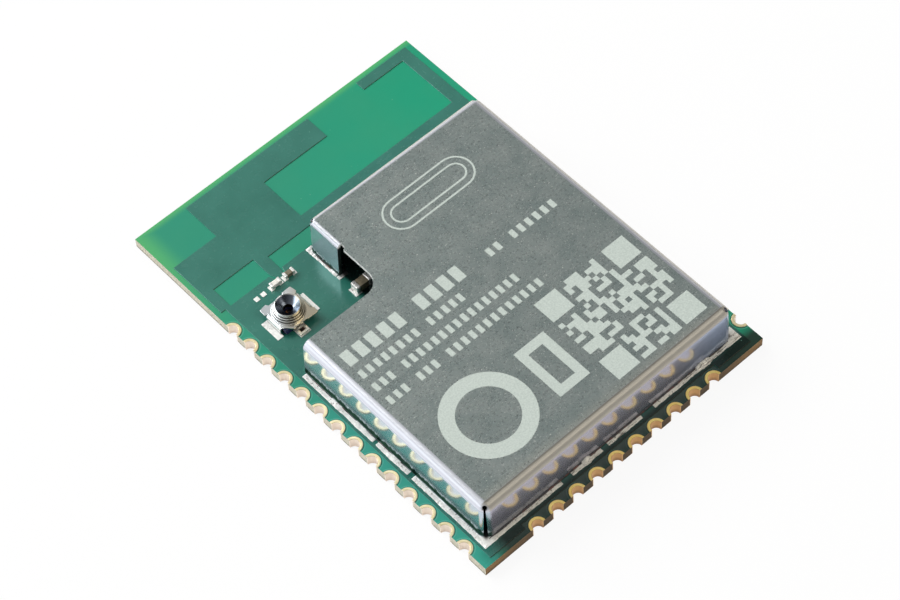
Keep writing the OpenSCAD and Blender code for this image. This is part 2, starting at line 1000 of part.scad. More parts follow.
module inductor_cores() {
    color("dimgray") each_inductor() chip_body(inductor_size);
}

module inductor_caps() {
    color("lightgray") each_inductor() chip_caps(inductor_size);
}

module band_filter() {
    color("dimgray")
        on_board(free_x + 2 * part_gap, free_y + part_gap)
            package(filter_size, mark = 0.1);
}

// Capacitors in a row on two sides of the processor
module each_decoupling() {
    for (side = [-1, 1], i = [-1.5 : 1.5])
        on_board(
            soc_x + i * (small_chip[0] + chip_gap),
            soc_y + side * (soc_side / 2 + part_gap + small_chip[1] / 2)
        )
            children();
}

module decoupling_bodies() {
    color("saddlebrown") each_decoupling() chip_body(small_chip);
}

module decoupling_caps() {
    color("lightgray") each_decoupling() chip_caps(small_chip);
}

module each_resistor() {
    for (i = [-1 : 1])
        on_board(right_column_x + i * (resistor_chip[0] + chip_gap), column_y(right_column, 2))
            children();
}

module resistor_bodies() {
    color("black") each_resistor() chip_body(resistor_chip);
}

module resistor_caps() {
    color("lightgray") each_resistor() chip_caps(resistor_chip);
}

// --------------------------------------------------------------------- nodes

board();
top_copper();
terminals_left();
terminals_front();
terminals_right();
ground_pads();
shield_can();
seam_left();
seam_front();
seam_right();
seam_back();
seam_notch();
coax_lands();
coax_base();
coax_shell();
coax_clip();
coax_pin();
feed_pads();
feed_capacitor();
feed_capacitor_caps();
feed_inductor();
feed_inductor_caps();
notch_pads();
notch_capacitor();
notch_capacitor_caps();
radio_processor();
processor_lid();
flash_memory();
crystal_base();
crystal_lid();
clock_crystal();
inductor_cores();
inductor_caps();
band_filter();
decoupling_bodies();
decoupling_caps();
resistor_bodies();
resistor_caps();
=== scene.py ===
"""Looks of the wireless radio module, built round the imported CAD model.

Shapes are worked out in millimetres, in the CAD frame, and scaled to metres when a
piece is finished: X across the board, Y towards the antenna end, Z up from the
underside. Pieces that replace a CAD node keep its form to about 0.15 mm, and all
stay inside the CAD model's box.
"""
import math

import bmesh
import bpy
from mathutils import Matrix, Vector, noise


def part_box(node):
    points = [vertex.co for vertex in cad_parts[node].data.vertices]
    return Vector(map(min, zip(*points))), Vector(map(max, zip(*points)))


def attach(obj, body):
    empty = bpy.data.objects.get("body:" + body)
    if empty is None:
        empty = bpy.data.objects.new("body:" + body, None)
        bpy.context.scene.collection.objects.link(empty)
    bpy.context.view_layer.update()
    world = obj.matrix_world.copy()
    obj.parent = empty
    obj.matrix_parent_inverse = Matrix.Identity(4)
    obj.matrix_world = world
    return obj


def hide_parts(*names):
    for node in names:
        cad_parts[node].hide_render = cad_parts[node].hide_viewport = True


MM = 0.001

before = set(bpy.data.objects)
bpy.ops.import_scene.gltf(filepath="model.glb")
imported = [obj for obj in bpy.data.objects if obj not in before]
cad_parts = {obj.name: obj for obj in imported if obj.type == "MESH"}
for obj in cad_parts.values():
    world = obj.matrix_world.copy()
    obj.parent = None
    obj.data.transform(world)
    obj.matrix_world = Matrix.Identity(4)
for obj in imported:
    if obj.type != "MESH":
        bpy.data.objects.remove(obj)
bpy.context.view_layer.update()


def box_mm(node):
    """Lowest and highest corner of a CAD node, in millimetres."""
    low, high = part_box(node)
    return low / MM, high / MM


# ------------------------------------------------------------------ sizes (mm)

# Board and terminals
BOARD_LOW, BOARD_HIGH = box_mm("board")
BOARD_T = 0.6
COPPER_T = 0.04
Z_MASK = BOARD_T + COPPER_T
TIN_T = 0.03
Z_TIN = Z_MASK + TIN_T
PITCH = 1.27
SIDE_COUNT = 14
FRONT_COUNT = 10
ROW_START = 1.48
HOLE_R = 0.30
DRILL_R = 0.34
RING_R = 0.45
FOOT_L = 1.2

# Can: outer faces, sheet and bends
CAN_LOW, CAN_HIGH = box_mm("shield_can")
CAN_X = CAN_HIGH.x
# The pressed can has rounder bends than it was drawn with, and sits a little back
SET_BACK = 0.1
BEND_R = 0.45
STUB_BEND_R = 0.27
DRAWN_BEND_R = 0.3
CAN_FRONT = CAN_LOW.y + SET_BACK
CAN_BACK = CAN_HIGH.y + SET_BACK
CAN_FOOT = CAN_LOW.z
MARK_T = 0.004
CAN_TOP = CAN_HIGH.z - MARK_T
SHEET = 0.2
CAN_BEVEL = 0.05
FREE_X = -CAN_X + 4.95
FREE_Y = CAN_HIGH.y - 5.17
NOTCH_R = 0.9
NOTCH_LIP = 0.19
STUB_X = FREE_X - DRAWN_BEND_R + NOTCH_LIP
STUB_END = CAN_HIGH.y - 2.09
RELIEF_R = 0.18
KEYHOLE_R = 0.13
KEYHOLE_RISE = 42
SLIT_TOP = 0.09
SLIT_FOOT = 0.24
# The walls spring back a little: distance by which the foot stands out
WALL_FLARE = 0.1

# Solder seams: reach outside and inside the wall, gaps and heaps of solder
SEAM_OUT = 0.26
SIDE_SEAM_OUT = 0.36
SEAM_IN = 0.15
FRONT_HEAPS = [(-1.75, 0.3, 0.2), (5.9, 0.5, 0.26)]
NOTCH_HEAPS = [(4.35, 0.35, 0.07)]
SIDE_GAPS = [(-6.76, 0.3), (-4.27, 0.2)]
SIDE_HEAPS = [(-9.2, 0.5, 0.05), (-5.6, 0.5, 0.06), (-3.2, 0.6, 0.05), (-1.4, 0.5, 0.06)]
FRONT_GAPS = [(-3.07, 0.64), (-0.63, 0.4), (2.17, 0.8)]
BACK_GAPS = [(0.6, 0.5), (4.4, 0.4)]
DROP_L = 0.23
SEAM_STOP = 0.05
SEED_STEP = 0.7
SEAM_ANGLE = 60
# Length over which the ends of the solder and of the flux thin out
SOLDER_FADE = 0.07
FLUX_FADE = 0.6
# Flux: height of its outer edge over the land, and how far it sinks in
FLUX_LIFT = 0.006
FLUX_T = 0.008
FLUX_SINK = 0.03

# Connector
COAX_LOW, COAX_HIGH = box_mm("coax_shell")
COAX_HALF = (COAX_HIGH.x - COAX_LOW.x) / 2
COAX_AT = Vector((COAX_LOW.x + COAX_HALF, COAX_LOW.y + COAX_HALF, 0))
FLANGE_Z = Z_MASK + 0.36
COAX_SHEET = 0.1
FLANGE_BEVEL = 0.02
MOUTH_R = 0.66
BORE_R = 0.25
FOLD_NEAR = -0.56
FOLD_FAR = 0.47
FOLD_R = 0.15
FRONT_IN = 0.05
BACK_IN = 0.14
TAB_RELIEF_R = 0.07
# Collars of the barrel (radius, height of the top), and the grooves above them
BARREL_COLLARS = [(MOUTH_R + 0.2, 0.05), (MOUTH_R + 0.13, 0.15), (MOUTH_R + 0.06, 0.26)]
GROOVE_D = 0.11
GROOVE_H = 0.035
# Funnel: thickness of the wall at the mouth and height of the lower end
MOUTH_WALL = 0.055
FUNNEL_LOW = 0.17
# X where the flange's cut corner meets its front, where the front edge steps out,
# and where each ear at the back starts
CUT_END = -0.5
FRONT_STEP = (0.38, 0.43)
LEFT_EAR, RIGHT_EAR = (-0.52, -0.6), (0.36, 0.42)


# ----------------------------------------------------------------- mesh shapes

class Shape:
    """Points and faces of one piece, in millimetres."""

    def __init__(self):
        self.points = []
        self.faces = []

    def loft(self, rings, closed=True, around=False, place=None):
        """Joins rings of equal length: closed says that each ring is a closed
        section, around says that the last ring joins the first. Ends are capped."""
        base = len(self.points)
        size = len(rings[0])
        for ring in rings:
            for point in ring:
                point = Vector(point)
                self.points.append(place @ point if place else point)
        steps = len(rings) if around else len(rings) - 1
        for i in range(steps):
            a = base + i * size
            b = base + (i + 1) % len(rings) * size
            for j in range(size if closed else size - 1):
                k = (j + 1) % size
                self.faces.append([a + j, a + k, b + k, b + j])
        if closed and not around:
            self.faces.append([base + j for j in reversed(range(size))])
            self.faces.append([base + steps * size + j for j in range(size)])

    def prism(self, outline, z0, z1, place=None):
        """A prism over an outline of (x, y) points."""
        self.loft([[(x, y, z) for x, y in outline] for z in (z0, z1)], place=place)

    def lathe(self, profile, steps, start=0.0, turn=360.0, place=None):
        """Turns a closed profile of (radius, z) points about the Z axis."""
        whole = turn >= 360
        rings = []
        for i in range(steps if whole else steps + 1):
            angle = math.radians(start + turn * i / steps)
            rings.append([(r * math.cos(angle), r * math.sin(angle), z) for r, z in profile])
        self.loft(rings, around=whole, place=place)

    def box(self, low, high, place=None):
        outline = [(low[0], low[1]), (high[0], low[1]), (high[0], high[1]), (low[0], high[1])]
        self.prism(outline, low[2], high[2], place=place)


def arc(cx, cy, radius, start, end, steps):
    """Points of an arc in the plane, from one angle to another in degrees."""
    angles = [math.radians(start + (end - start) * i / steps) for i in range(steps + 1)]
    return [(cx + radius * math.cos(a), cy + radius * math.sin(a)) for a in angles]


def circle(cx, cy, radius, steps):
    """Outline of a circle, without a doubled first point."""
    return arc(cx, cy, radius, 0, 360, steps)[:-1]


def pointing(degrees):
    """Flat unit vector at an angle from X."""
    return Vector((math.cos(math.radians(degrees)), math.sin(math.radians(degrees)), 0))


def upwards(height):
    return Vector((0, 0, height))


def turned(x, y, z, degrees):
    """Frame at a place, turned about Z."""
    return Matrix.Translation((x, y, z)) @ Matrix.Rotation(math.radians(degrees), 4, "Z")


def add_object(name, data):
    obj = bpy.data.objects.new(name, data)
    bpy.context.scene.collection.objects.link(obj)
    return obj


def as_object(name, shape):
    mesh = bpy.data.meshes.new(name)
    mesh.from_pydata(shape.points, [], shape.faces)
    tidy_mesh(mesh)
    return add_object(name, mesh)


def tidy_mesh(mesh, flat_angle=None):
    """Merges doubled points, may join flat faces, and turns the faces outwards."""
    bm = bmesh.new()
    bm.from_mesh(mesh)
    bmesh.ops.remove_doubles(bm, verts=bm.verts, dist=1e-5)
    if flat_angle:
        bmesh.ops.dissolve_limit(
            bm, angle_limit=math.radians(flat_angle), verts=bm.verts, edges=bm.edges
        )
    bmesh.ops.recalc_face_normals(bm, faces=bm.faces)
    bm.to_mesh(mesh)
    bm.free()


def apply_modifiers(obj):
    """Replaces the object's mesh by what its modifiers make of it."""
    graph = bpy.context.evaluated_depsgraph_get()
    made = bpy.data.meshes.new_from_object(obj.evaluated_get(graph))
    obj.modifiers.clear()
    obj.data = made


def soften(obj, width, segments, angle=40):
    """Rounds the edges that are sharper than an angle."""
    bevel = obj.modifiers.new("bevel", "BEVEL")
    bevel.width = width
    bevel.segments = segments
    bevel.limit_method = "ANGLE"
    bevel.angle_limit = math.radians(angle)
    bevel.use_clamp_overlap = True
    apply_modifiers(obj)


def shade(obj, angle=38):
    """Smooth shading that keeps flat faces flat and sharp edges sharp."""
    obj.data.shade_smooth()
    obj.data.set_sharp_from_angle(angle=math.radians(angle))
    normals = obj.modifiers.new("normals", "WEIGHTED_NORMAL")
    normals.keep_sharp = True
    apply_modifiers(obj)


def finish_piece(obj, material, nodes=()):
    """Scales a piece to metres, and gives it its material and body."""
    obj.data.transform(Matrix.Scale(MM, 4))
    if material:
        obj.data.materials.clear()
        obj.data.materials.append(material)
    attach(obj, "root")
    if nodes:
        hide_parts(*nodes)


def finish_shape(name, shape, material, nodes=(), angle=38):
    """Makes a shaded piece of a shape."""
    obj = as_object(name, shape)
    shade(obj, angle)
    finish_piece(obj, material, nodes)


def softened_node(node, material, slot, width, segments):
    """A copy of a CAD node with rounded edges, in the node's place."""
    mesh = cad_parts[node].data.copy()
    mesh.transform(Matrix.Scale(1 / MM, 4))
    custom_normals = mesh.attributes.get("custom_normal")
    if custom_normals:
        mesh.attributes.remove(custom_normals)
    tidy_mesh(mesh, flat_angle=1)
    obj = add_object(node + "_soft", mesh)
    soften(obj, width, segments)
    shade(obj)
    finish_piece(obj, material, [node])


# ------------------------------------------------------------------- materials

# What nearly all values of a noise lie between
NOISE_ENDS = (0.3, 0.7)


def colour(r, g, b):
    """A linear colour from 0 to 255 display values."""
    def linear(v):
        v /= 255
        return v / 12.92 if v <= 0.04045 else ((v + 0.055) / 1.055) ** 2.4
    return (linear(r), linear(g), linear(b), 1.0)


def fill(tree, socket, value):
    """Gives an input a constant, or links it."""
    if isinstance(value, bpy.types.NodeSocket):
        tree.links.new(value, socket)
    else:
        socket.default_value = value


def add_node(tree, kind, inputs, output=0, **settings):
    """Makes a node, fills its inputs and returns one of its outputs."""
    node = tree.nodes.new("ShaderNode" + kind)
    for name, value in settings.items():
        setattr(node, name, value)
    for name, value in inputs.items():
        fill(tree, node.inputs[name], value)
    return node.outputs[output]


class Paint:
    """A material's nodes, with one short call for each kind."""

    def __init__(self, name, metallic=0.0):
        self.material = bpy.data.materials.new(name)
        self.material.use_nodes = True
        self.tree = self.material.node_tree
        self.shader = self.tree.nodes["Principled BSDF"]
        self.set("Metallic", metallic)
        place = self.node("TexCoord", {}, "Object")
        self.at = self.node("VectorMath", {0: place, "Scale": 1 / MM}, operation="SCALE")

    def set(self, name, value):
        fill(self.tree, self.shader.inputs[name], value)

    def node(self, kind, inputs, output=0, **settings):
        return add_node(self.tree, kind, inputs, output, **settings)

    def xyz(self):
        """Place on the piece, in millimetres."""
        return [self.node("SeparateXYZ", {0: self.at}, axis) for axis in "XYZ"]

    def normal(self, axis):
        return self.node("SeparateXYZ", {0: self.node("NewGeometry", {}, "Normal")}, axis)

    def stretched(self, x, y, z):
        return self.node("VectorMath", {0: self.at, 1: (x, y, z)}, operation="MULTIPLY")

    def noise(self, scale, detail=2.0, roughness=0.5, at=None):
        return self.node("TexNoise", {
            "Vector": at or self.at, "Scale": scale, "Detail": detail, "Roughness": roughness,
        })

    def cells(self, scale):
        return self.node("TexVoronoi", {"Vector": self.at, "Scale": scale}, "Distance")

    def math(self, operation, *values):
        """Works through the values from the left with one operation."""
        total = values[0]
        for value in values[1:]:
            total = self.node("Math", {0: total, 1: value}, operation=operation)
        return total

    def times(self, *values):
        return self.math("MULTIPLY", *values)

    def plus(self, *values):
        return self.math("ADD", *values)

    def minus(self, a, b):
        return self.math("SUBTRACT", a, b)

    def most(self, *values):
        return self.math("MAXIMUM", *values)

    def least(self, *values):
        return self.math("MINIMUM", *values)

    def absolute(self, value):
        return self.node("Math", {0: value}, operation="ABSOLUTE")

    def length(self, a, b):
        """Length of a flat vector."""
        squares = self.plus(self.times(a, a), self.times(b, b))
        return self.node("Math", {0: squares}, operation="SQRT")

    def span(self, value, low, high, out_low=0.0, out_high=1.0, smooth=False):
        """Maps a value from one range to another, and keeps it there."""
        inputs = {
            "Value": value, "From Min": low, "From Max": high, "To Min": out_low, "To Max": out_high,
        }
        return self.node(
            "MapRange", inputs, "Result", interpolation_type="SMOOTHSTEP" if smooth else "LINEAR"
        )

    def fall(self, value, low, high, smooth=False):
        """1 up to the low value, and 0 from the high one."""
        return self.span(value, low, high, 1, 0, smooth)

    def vary(self, noise, a, b):
        """Spreads a noise over a range."""
        return self.span(noise, *NOISE_ENDS, a, b)

    def between(self, share, a, b):
        """A number between two others, by a share from 0 to 1."""
        return self.span(share, 0, 1, a, b)

    def window(self, value, rise_low, rise_high, fall_low, fall_high):
        """0, then 1 between two slopes, then 0."""
        return self.times(self.span(value, rise_low, rise_high), self.fall(value, fall_low, fall_high))

    def mix(self, share, a, b):
        """Mixes two colours, each a socket or three display values."""
        colour_a, colour_b, colour_out = 6, 7, 2
        a, b = (colour(*v) if isinstance(v, tuple) and len(v) == 3 else v for v in (a, b))
        inputs = {"Factor": share, colour_a: a, colour_b: b}
        return self.node("Mix", inputs, colour_out, data_type="RGBA")

    def bump(self, height, depth, under=None):
        """Bump whose height of 1 stands for a depth in millimetres."""
        inputs = {"Distance": depth * MM, "Height": height}
        if under is not None:
            inputs["Normal"] = under
        return self.node("Bump", inputs, "Normal")

    def done(self, body, roughness, normal):
        """Sets what every material has, and returns the material."""
        self.set("Base Color", body)
        self.set("Roughness", roughness)
        self.set("Normal", normal)
        return self.material


def ring_gap(p):
    """Distance from the nearest terminal's axis, in millimetres."""
    x, y, _ = p.xyz()
    whole_turns = 100

    def across(value, offset):
        """Distance along a row from the middle of the nearest terminal."""
        place = p.plus(value, offset + whole_turns * PITCH + PITCH / 2)
        return p.minus(p.math("MODULO", place, PITCH), PITCH / 2)

    side = p.length(across(y, -(BOARD_LOW.y + ROW_START)), p.minus(BOARD_HIGH.x, p.absolute(x)))
    far_away = 9
    first = BOARD_LOW.y + ROW_START - PITCH / 2
    last = first + SIDE_COUNT * PITCH
    side = p.plus(side, p.span(y, first, first + 0.01, far_away, 0))
    side = p.plus(side, p.span(y, last, last + 0.01, 0, far_away))
    front = p.length(across(x, PITCH / 2), p.minus(y, BOARD_LOW.y))
    end = FRONT_COUNT * PITCH / 2
    front = p.plus(front, p.span(p.absolute(x), end, end + 0.01, 0, far_away))
    return p.least(side, front)


def under_can(p):
    """Share of painted shade on what lies under the can: 0 outside and 1 well inside."""
    x, y, _ = p.xyz()
    side = p.minus(CAN_X - SHEET, p.absolute(x))
    front = p.minus(y, CAN_FRONT + SHEET)
    back = p.minus(CAN_BACK - SHEET, y)
    lip = 0.18
    notch = p.most(p.minus(x, FREE_X + lip), p.minus(FREE_Y - lip, y))
    depth = p.least(side, notch, front, back)
    return p.span(depth, -0.3, -0.12, smooth=True)


def specks(p, scale, patch_scale, size, strength):
    """Tiny pale specks in the mask, which come in patches."""
    dots = p.span(p.cells(scale), size, size + 0.04, strength, 0)
    return p.times(dots, p.span(p.noise(patch_scale, 1), 0.5, 0.6))


def front_strip(p, near, far, left_near, left_far, smooth=True):
    """Share of the strip along the board's front edge, which ends before the left
    corner: distances from the front edge and from the left one."""
    x, y, _ = p.xyz()
    strip = p.fall(p.minus(y, BOARD_LOW.y), near, far, smooth)
    return p.times(strip, p.span(p.minus(x, BOARD_LOW.x), left_near, left_far))


def laminate_material():
    """Solder mask over bare laminate on the two faces, glass fibre on the edges."""
    p = Paint("laminate")
    x, y, z = p.xyz()
    patches = p.noise(0.35, 2)
    face = p.mix(p.span(x, -5, 8, smooth=True), (34, 143, 115), (10, 152, 115))
    face = p.mix(p.span(patches, 0.35, 0.7, 0, 0.3), face, (48, 148, 110))
    # Painted glow, as of light that comes through the laminate near the free corner and its edges
    left = p.fall(x, BOARD_LOW.x, BOARD_LOW.x + 1.2, smooth=True)
    back = p.span(y, BOARD_HIGH.y - 0.45, BOARD_HIGH.y, smooth=True)
    free_end = p.span(y, 4, 12, smooth=True)
    glow = p.times(p.most(left, back), free_end)
    face = p.mix(p.times(glow, 0.6), face, (96, 190, 104))
    side = p.fall(x, BOARD_LOW.x + 0.8, BOARD_LOW.x + 1.1)
    side = p.times(side, p.span(y, -3, 1.5, 1, 0.2, smooth=True))
    side = p.times(side, p.fall(y, 4, 6, smooth=True))
    face = p.mix(p.times(side, 0.6), face, (56, 162, 148))
    # Painted shadow of the can on the strip along the front edge
    front = front_strip(p, 0.45, 1.15, 0.1, 1.6)
    face = p.mix(p.times(front, 0.93), face, (10, 28, 16))
    face = p.mix(specks(p, 2.2, 0.8, 0.03, 0.4), face, (150, 210, 170))
    # The mask's opening round each terminal: a dark gap, then a raised lip with a painted highlight,
    # fainter near the front edge
    ring = ring_gap(p)
    gap = p.window(ring, RING_R, RING_R + 0.01, RING_R + 0.03, RING_R + 0.05)
    lip = p.window(ring, RING_R + 0.04, RING_R + 0.07, RING_R + 0.09, RING_R + 0.13)
    face = p.mix(p.times(gap, 0.6), face, (14, 60, 42))
    pale = p.times(lip, p.span(y, BOARD_LOW.y + 0.45, BOARD_LOW.y + 0.95, 0.04, 0.3))
    face = p.mix(pale, face, (120, 190, 170))
    # Edges: layers of fibre, pale on the sides, and on the front painted browner and darker as shade,
    # darker still towards both ends
    layers = p.noise(1.0, 3, at=p.stretched(1.2, 1.2, 16))
    fibres = p.noise(9, 2, at=p.stretched(1, 1, 3))
    edge = p.mix(layers, (226, 222, 204), (166, 156, 128))
    edge = p.mix(p.span(fibres, 0.4, 0.75, 0, 0.6), edge, (240, 236, 220))
    shaded_front_edge = p.mix(layers, (186, 142, 84), (92, 68, 38))
    near_corner = p.span(p.absolute(x), BOARD_HIGH.x - 3.5, BOARD_HIGH.x - 0.5)
    shaded_front_edge = p.mix(near_corner, p.mix(0.75, shaded_front_edge, (48, 40, 24)), shaded_front_edge)
    edge = p.mix(p.fall(p.normal("Y"), -0.6, -0.4), edge, shaded_front_edge)
    # Painted shade along the bottom of the edges
    edge = p.mix(p.span(z, 0.0, 0.2, 0.6, 0, smooth=True), edge, (52, 40, 26))
    flat = p.span(p.absolute(p.normal("Z")), 0.4, 0.6)
    relief = p.bump(p.noise(0.7, 1), 0.006)
    weave = p.plus(p.noise(14, 2), p.times(layers, 1.5))
    return p.done(
        p.mix(flat, edge, face),
        p.plus(p.between(flat, 0.6, 0.2), p.between(patches, 0, 0.1)),
        p.bump(p.times(weave, p.between(flat, 1, 0.12)), 0.012, relief),
    )


def copper_material():
    """Solder mask over copper: a cooler, greyer green with a soft gloss."""
    p = Paint("masked_copper")
    x, y, _ = p.xyz()
    patches = p.noise(0.5, 3)
    body = p.mix(p.vary(patches, 0, 1), (40, 108, 94), (52, 120, 106))
    body = p.mix(p.span(y, -11, 4, 0.4, 0, smooth=True), body, (34, 100, 92))
    # Painted shadow of the can on the strip along the front edge
    front = front_strip(p, 0.55, 1.25, 0.5, 1.7)
    body = p.mix(p.times(front, 0.93), body, (8, 24, 14))
    # Painted light that the short wall throws back on the board
    away = p.minus(x, STUB_X)
    along = p.minus(y, p.times(away, 1.25))
    thrown = p.times(p.span(away, -0.95, -0.5, smooth=True), p.fall(away, -0.2, -0.1))
    ends = p.times(p.span(along, STUB_END, STUB_END + 0.12), p.fall(along, 5.2, 6.2, smooth=True))
    body = p.mix(p.times(thrown, ends, 0.6), body, (116, 174, 164))
    # Painted shade under the can
    body = p.mix(p.times(under_can(p), 0.92), body, (6, 14, 14))
    body = p.mix(specks(p, 2.6, 0.9, 0.04, 0.5), body, (140, 196, 176))
    # Edges of the copper under the mask: painted pale as a highlight where they face left, elsewhere
    # reddish and darkened as painted shade
    edge = p.fall(p.normal("Z"), 0.4, 0.95)
    tone = p.mix(p.fall(p.normal("X"), -0.5, -0.1), (84, 70, 54), (92, 168, 156))
    relief = p.bump(p.noise(0.6, 1), 0.006)
    p.set("Specular IOR Level", p.between(front, 0.5, 0.2))
    p.set("Coat Weight", p.between(front, 0.25, 0.05))
    p.set("Coat Roughness", 0.15)
    return p.done(
        p.mix(edge, body, tone),
        p.vary(p.noise(3, 3), 0.2, 0.3),
        p.bump(p.noise(9, 2), 0.0006, relief),
    )


def gold_material():
    """Gold plating with painted light: paler on the sides, painted as lit, and deeper in front,
    painted as shaded, with the barrels duller than the rings.
    """
    p = Paint("gold_plating")
    _, y, z = p.xyz()
    stain = p.noise(2.4, 3)
    front = p.fall(y, BOARD_LOW.y + 0.6, BOARD_LOW.y + 0.75)
    # Rims and barrels painted paler on the side rows, as lit, and deeper gold in the front row, as
    # shaded
    pale = p.mix(p.span(stain, 0.35, 0.7), (253, 240, 196), (250, 230, 178))
    shaded_gold = p.mix(p.span(stain, 0.35, 0.7), (255, 230, 140), (252, 216, 118))
    rim = p.mix(front, pale, shaded_gold)
    barrel = p.mix(front, (255, 240, 224), (242, 192, 124))
    inside = p.fall(p.normal("Z"), 0.2, 0.7)
    body = p.mix(inside, rim, barrel)
    # A darker line painted as shade where the ring turns into the barrel and into the board
    bend = p.window(p.normal("Z"), 0.15, 0.4, 0.75, 0.95)
    body = p.mix(p.times(bend, 0.75), body, (150, 92, 44))
    # Painted shade towards the bottom of the barrels, stronger in the front row
    low = p.times(p.fall(z, 0.0, 0.35, smooth=True), p.between(front, 0.12, 0.6))
    p.set("Metallic", p.times(p.between(inside, 0.85, 0.35), p.between(front, 1, 0.5)))
    return p.done(
        p.mix(low, body, (150, 92, 56)),
        p.vary(p.noise(9, 3), 0.28, 0.42),
        p.bump(p.noise(16, 2), 0.0025),
    )


def contact_material():
    """Dull gold of the contact at the bottom of the bore, darkened as painted shade."""
    p = Paint("contact_gold", metallic=0.7)
    stain = p.noise(7, 3)
    return p.done(
        p.mix(p.span(stain, 0.52, 0.66), (26, 18, 16), (176, 112, 70)),
        0.4,
        p.bump(stain, 0.01),
    )


def side_facing(p):
    """Share by which a surface is turned to the left."""
    return p.fall(p.normal("X"), -0.3, -0.1)


def can_material():
    """Satin rolled sheet on top, smooth bends, and bright drawn walls, with painted light: glints in
    the grain, highlights on the bends, reflections and shade on the walls.
    """
    p = Paint("can_sheet")
    x, y, z = p.xyz()
    blotches = p.noise(0.9, 4, 0.6)
    grain = p.noise(8, 4, 0.75)
    glint_specks = p.noise(13, 3, 0.75)
    rolling = p.noise(1.0, 3, at=p.stretched(1.2, 14, 4))
    body = p.mix(p.vary(blotches, 0, 1), (142, 154, 151), (164, 172, 168))
    # Painted cream highlight on the top along its front edge
    body = p.mix(p.span(y, -11.5, -10.6, 0.35, 0, smooth=True), body, (206, 198, 180))
    body = p.mix(p.span(grain, 0.45, 0.28, 0, 0.65), body, (92, 100, 98))
    # Bright specks painted as glints of the grain
    body = p.mix(p.span(glint_specks, 0.6, 0.7, 0, 0.9), body, (250, 252, 244))
    up = p.normal("Z")
    top = p.span(up, 0.72, 0.97)
    flat = p.span(up, 0.9985, 0.9998)
    bend = p.window(up, 0.1, 0.35, 0.94, 0.99)
    # Walls: painted reflections, lavender in front, bluish on the left and at the front wall's right
    # end, and a ragged dark band above the seam painted as the shaded board's reflection and the shade
    # at the foot
    side = side_facing(p)
    wall = p.mix(side, (192, 190, 206), (196, 210, 222))
    right_end = p.times(p.span(x, 3.5, 7.2, smooth=True), p.fall(p.normal("Y"), -0.9, -0.7))
    wall = p.mix(right_end, wall, (176, 190, 218))
    tongues = p.noise(1.0, 4, 0.6, at=p.stretched(5, 5, 0.6))
    height = p.minus(z, p.span(tongues, 0.35, 0.65, 0, 0.2))
    fade = p.span(height, CAN_FOOT + 0.1, CAN_FOOT + 1.3, 0.3, 0)
    long_wall = p.span(x, STUB_X - 1, STUB_X - 0.9, 0.2, 0)
    height = p.minus(height, long_wall)
    above = p.times(p.span(z, CAN_FOOT + 0.05, CAN_FOOT + 0.09), p.between(side, 0.6, 1))
    dark = p.times(above, p.span(height, CAN_FOOT + 0.1, CAN_FOOT + 0.26, 0.95, 0, smooth=True))
    shaded = p.most(fade, dark)
    wall = p.mix(shaded, wall, (30, 52, 44))
    # Painted green reflection in the sheen of the dark band on the left
    p.set("Specular Tint", p.mix(p.times(shaded, side), (255, 255, 255), (124, 168, 150)))
    dull = p.times(p.fall(top, 0, 1), p.between(side, 0.23, 0.05))
    dull = p.plus(dull, p.times(right_end, 0.3))
    # Bends: painted highlights, pale on the left and cream in front, and painted shade high on the
    # short wall's bend
    painted_bend = p.mix(side, (190, 184, 172), (220, 223, 233))
    short = p.times(p.span(x, STUB_X - 1, STUB_X - 0.9), p.span(up, 0.74, 0.86))
    painted_bend = p.mix(p.times(short, side), painted_bend, (120, 130, 130))
    # Where the top starts to bend: painted light, and painted shade where it turns to the front
    front_turn = p.fall(p.normal("Y"), -0.1, -0.03)
    sheet = p.mix(flat, p.mix(front_turn, (196, 198, 204), (152, 148, 138)), body)
    p.set("Metallic", p.minus(0.93, p.most(p.times(bend, p.between(side, 0.78, 0.6)), dull)))
    uneven = p.plus(p.vary(grain, -0.06, 0.06), p.vary(rolling, -0.03, 0.03))
    satin = p.plus(0.3, p.times(uneven, flat))
    mirror = p.vary(p.noise(6, 2), 0.12, 0.16)
    waves = p.bump(p.noise(0.9, 2), 0.006)
    rough = p.plus(grain, p.times(glint_specks, 0.6), p.times(rolling, 0.5))
    return p.done(
        p.mix(top, p.mix(bend, wall, painted_bend), sheet),
        p.plus(mirror, p.times(top, p.minus(satin, mirror))),
        p.bump(p.times(rough, flat), 0.009, waves),
    )


def cut_edge_material():
    """The sheared edge of the sheet: bright, matt and finely torn."""
    p = Paint("cut_edge", metallic=0.15)
    tear = p.noise(10, 3, at=p.stretched(1, 1, 0.4))
    bright = p.mix(tear, (238, 238, 236), (252, 252, 250))
    # Cut edges that face the front, on the walls below the top sheet, painted dark as shade
    shaded = p.fall(p.normal("Y"), -0.9, -0.6)
    _, _, z = p.xyz()
    low = p.fall(z, CAN_TOP - SHEET - 0.1, CAN_TOP - SHEET)
    return p.done(
        p.mix(p.times(shaded, low), bright, (40, 54, 52)),
        p.vary(tear, 0.45, 0.65),
        p.bump(tear, 0.006),
    )


def mark_material():
    """The matt, pale surface that a laser leaves on the sheet."""
    p = Paint("laser_mark", metallic=0.25)
    grain = p.noise(11, 3, 0.7)
    return p.done(
        p.mix(p.span(grain, 0.35, 0.7), (186, 197, 190), (212, 221, 214)),
        p.vary(grain, 0.5, 0.7),
        p.bump(grain, 0.004),
    )


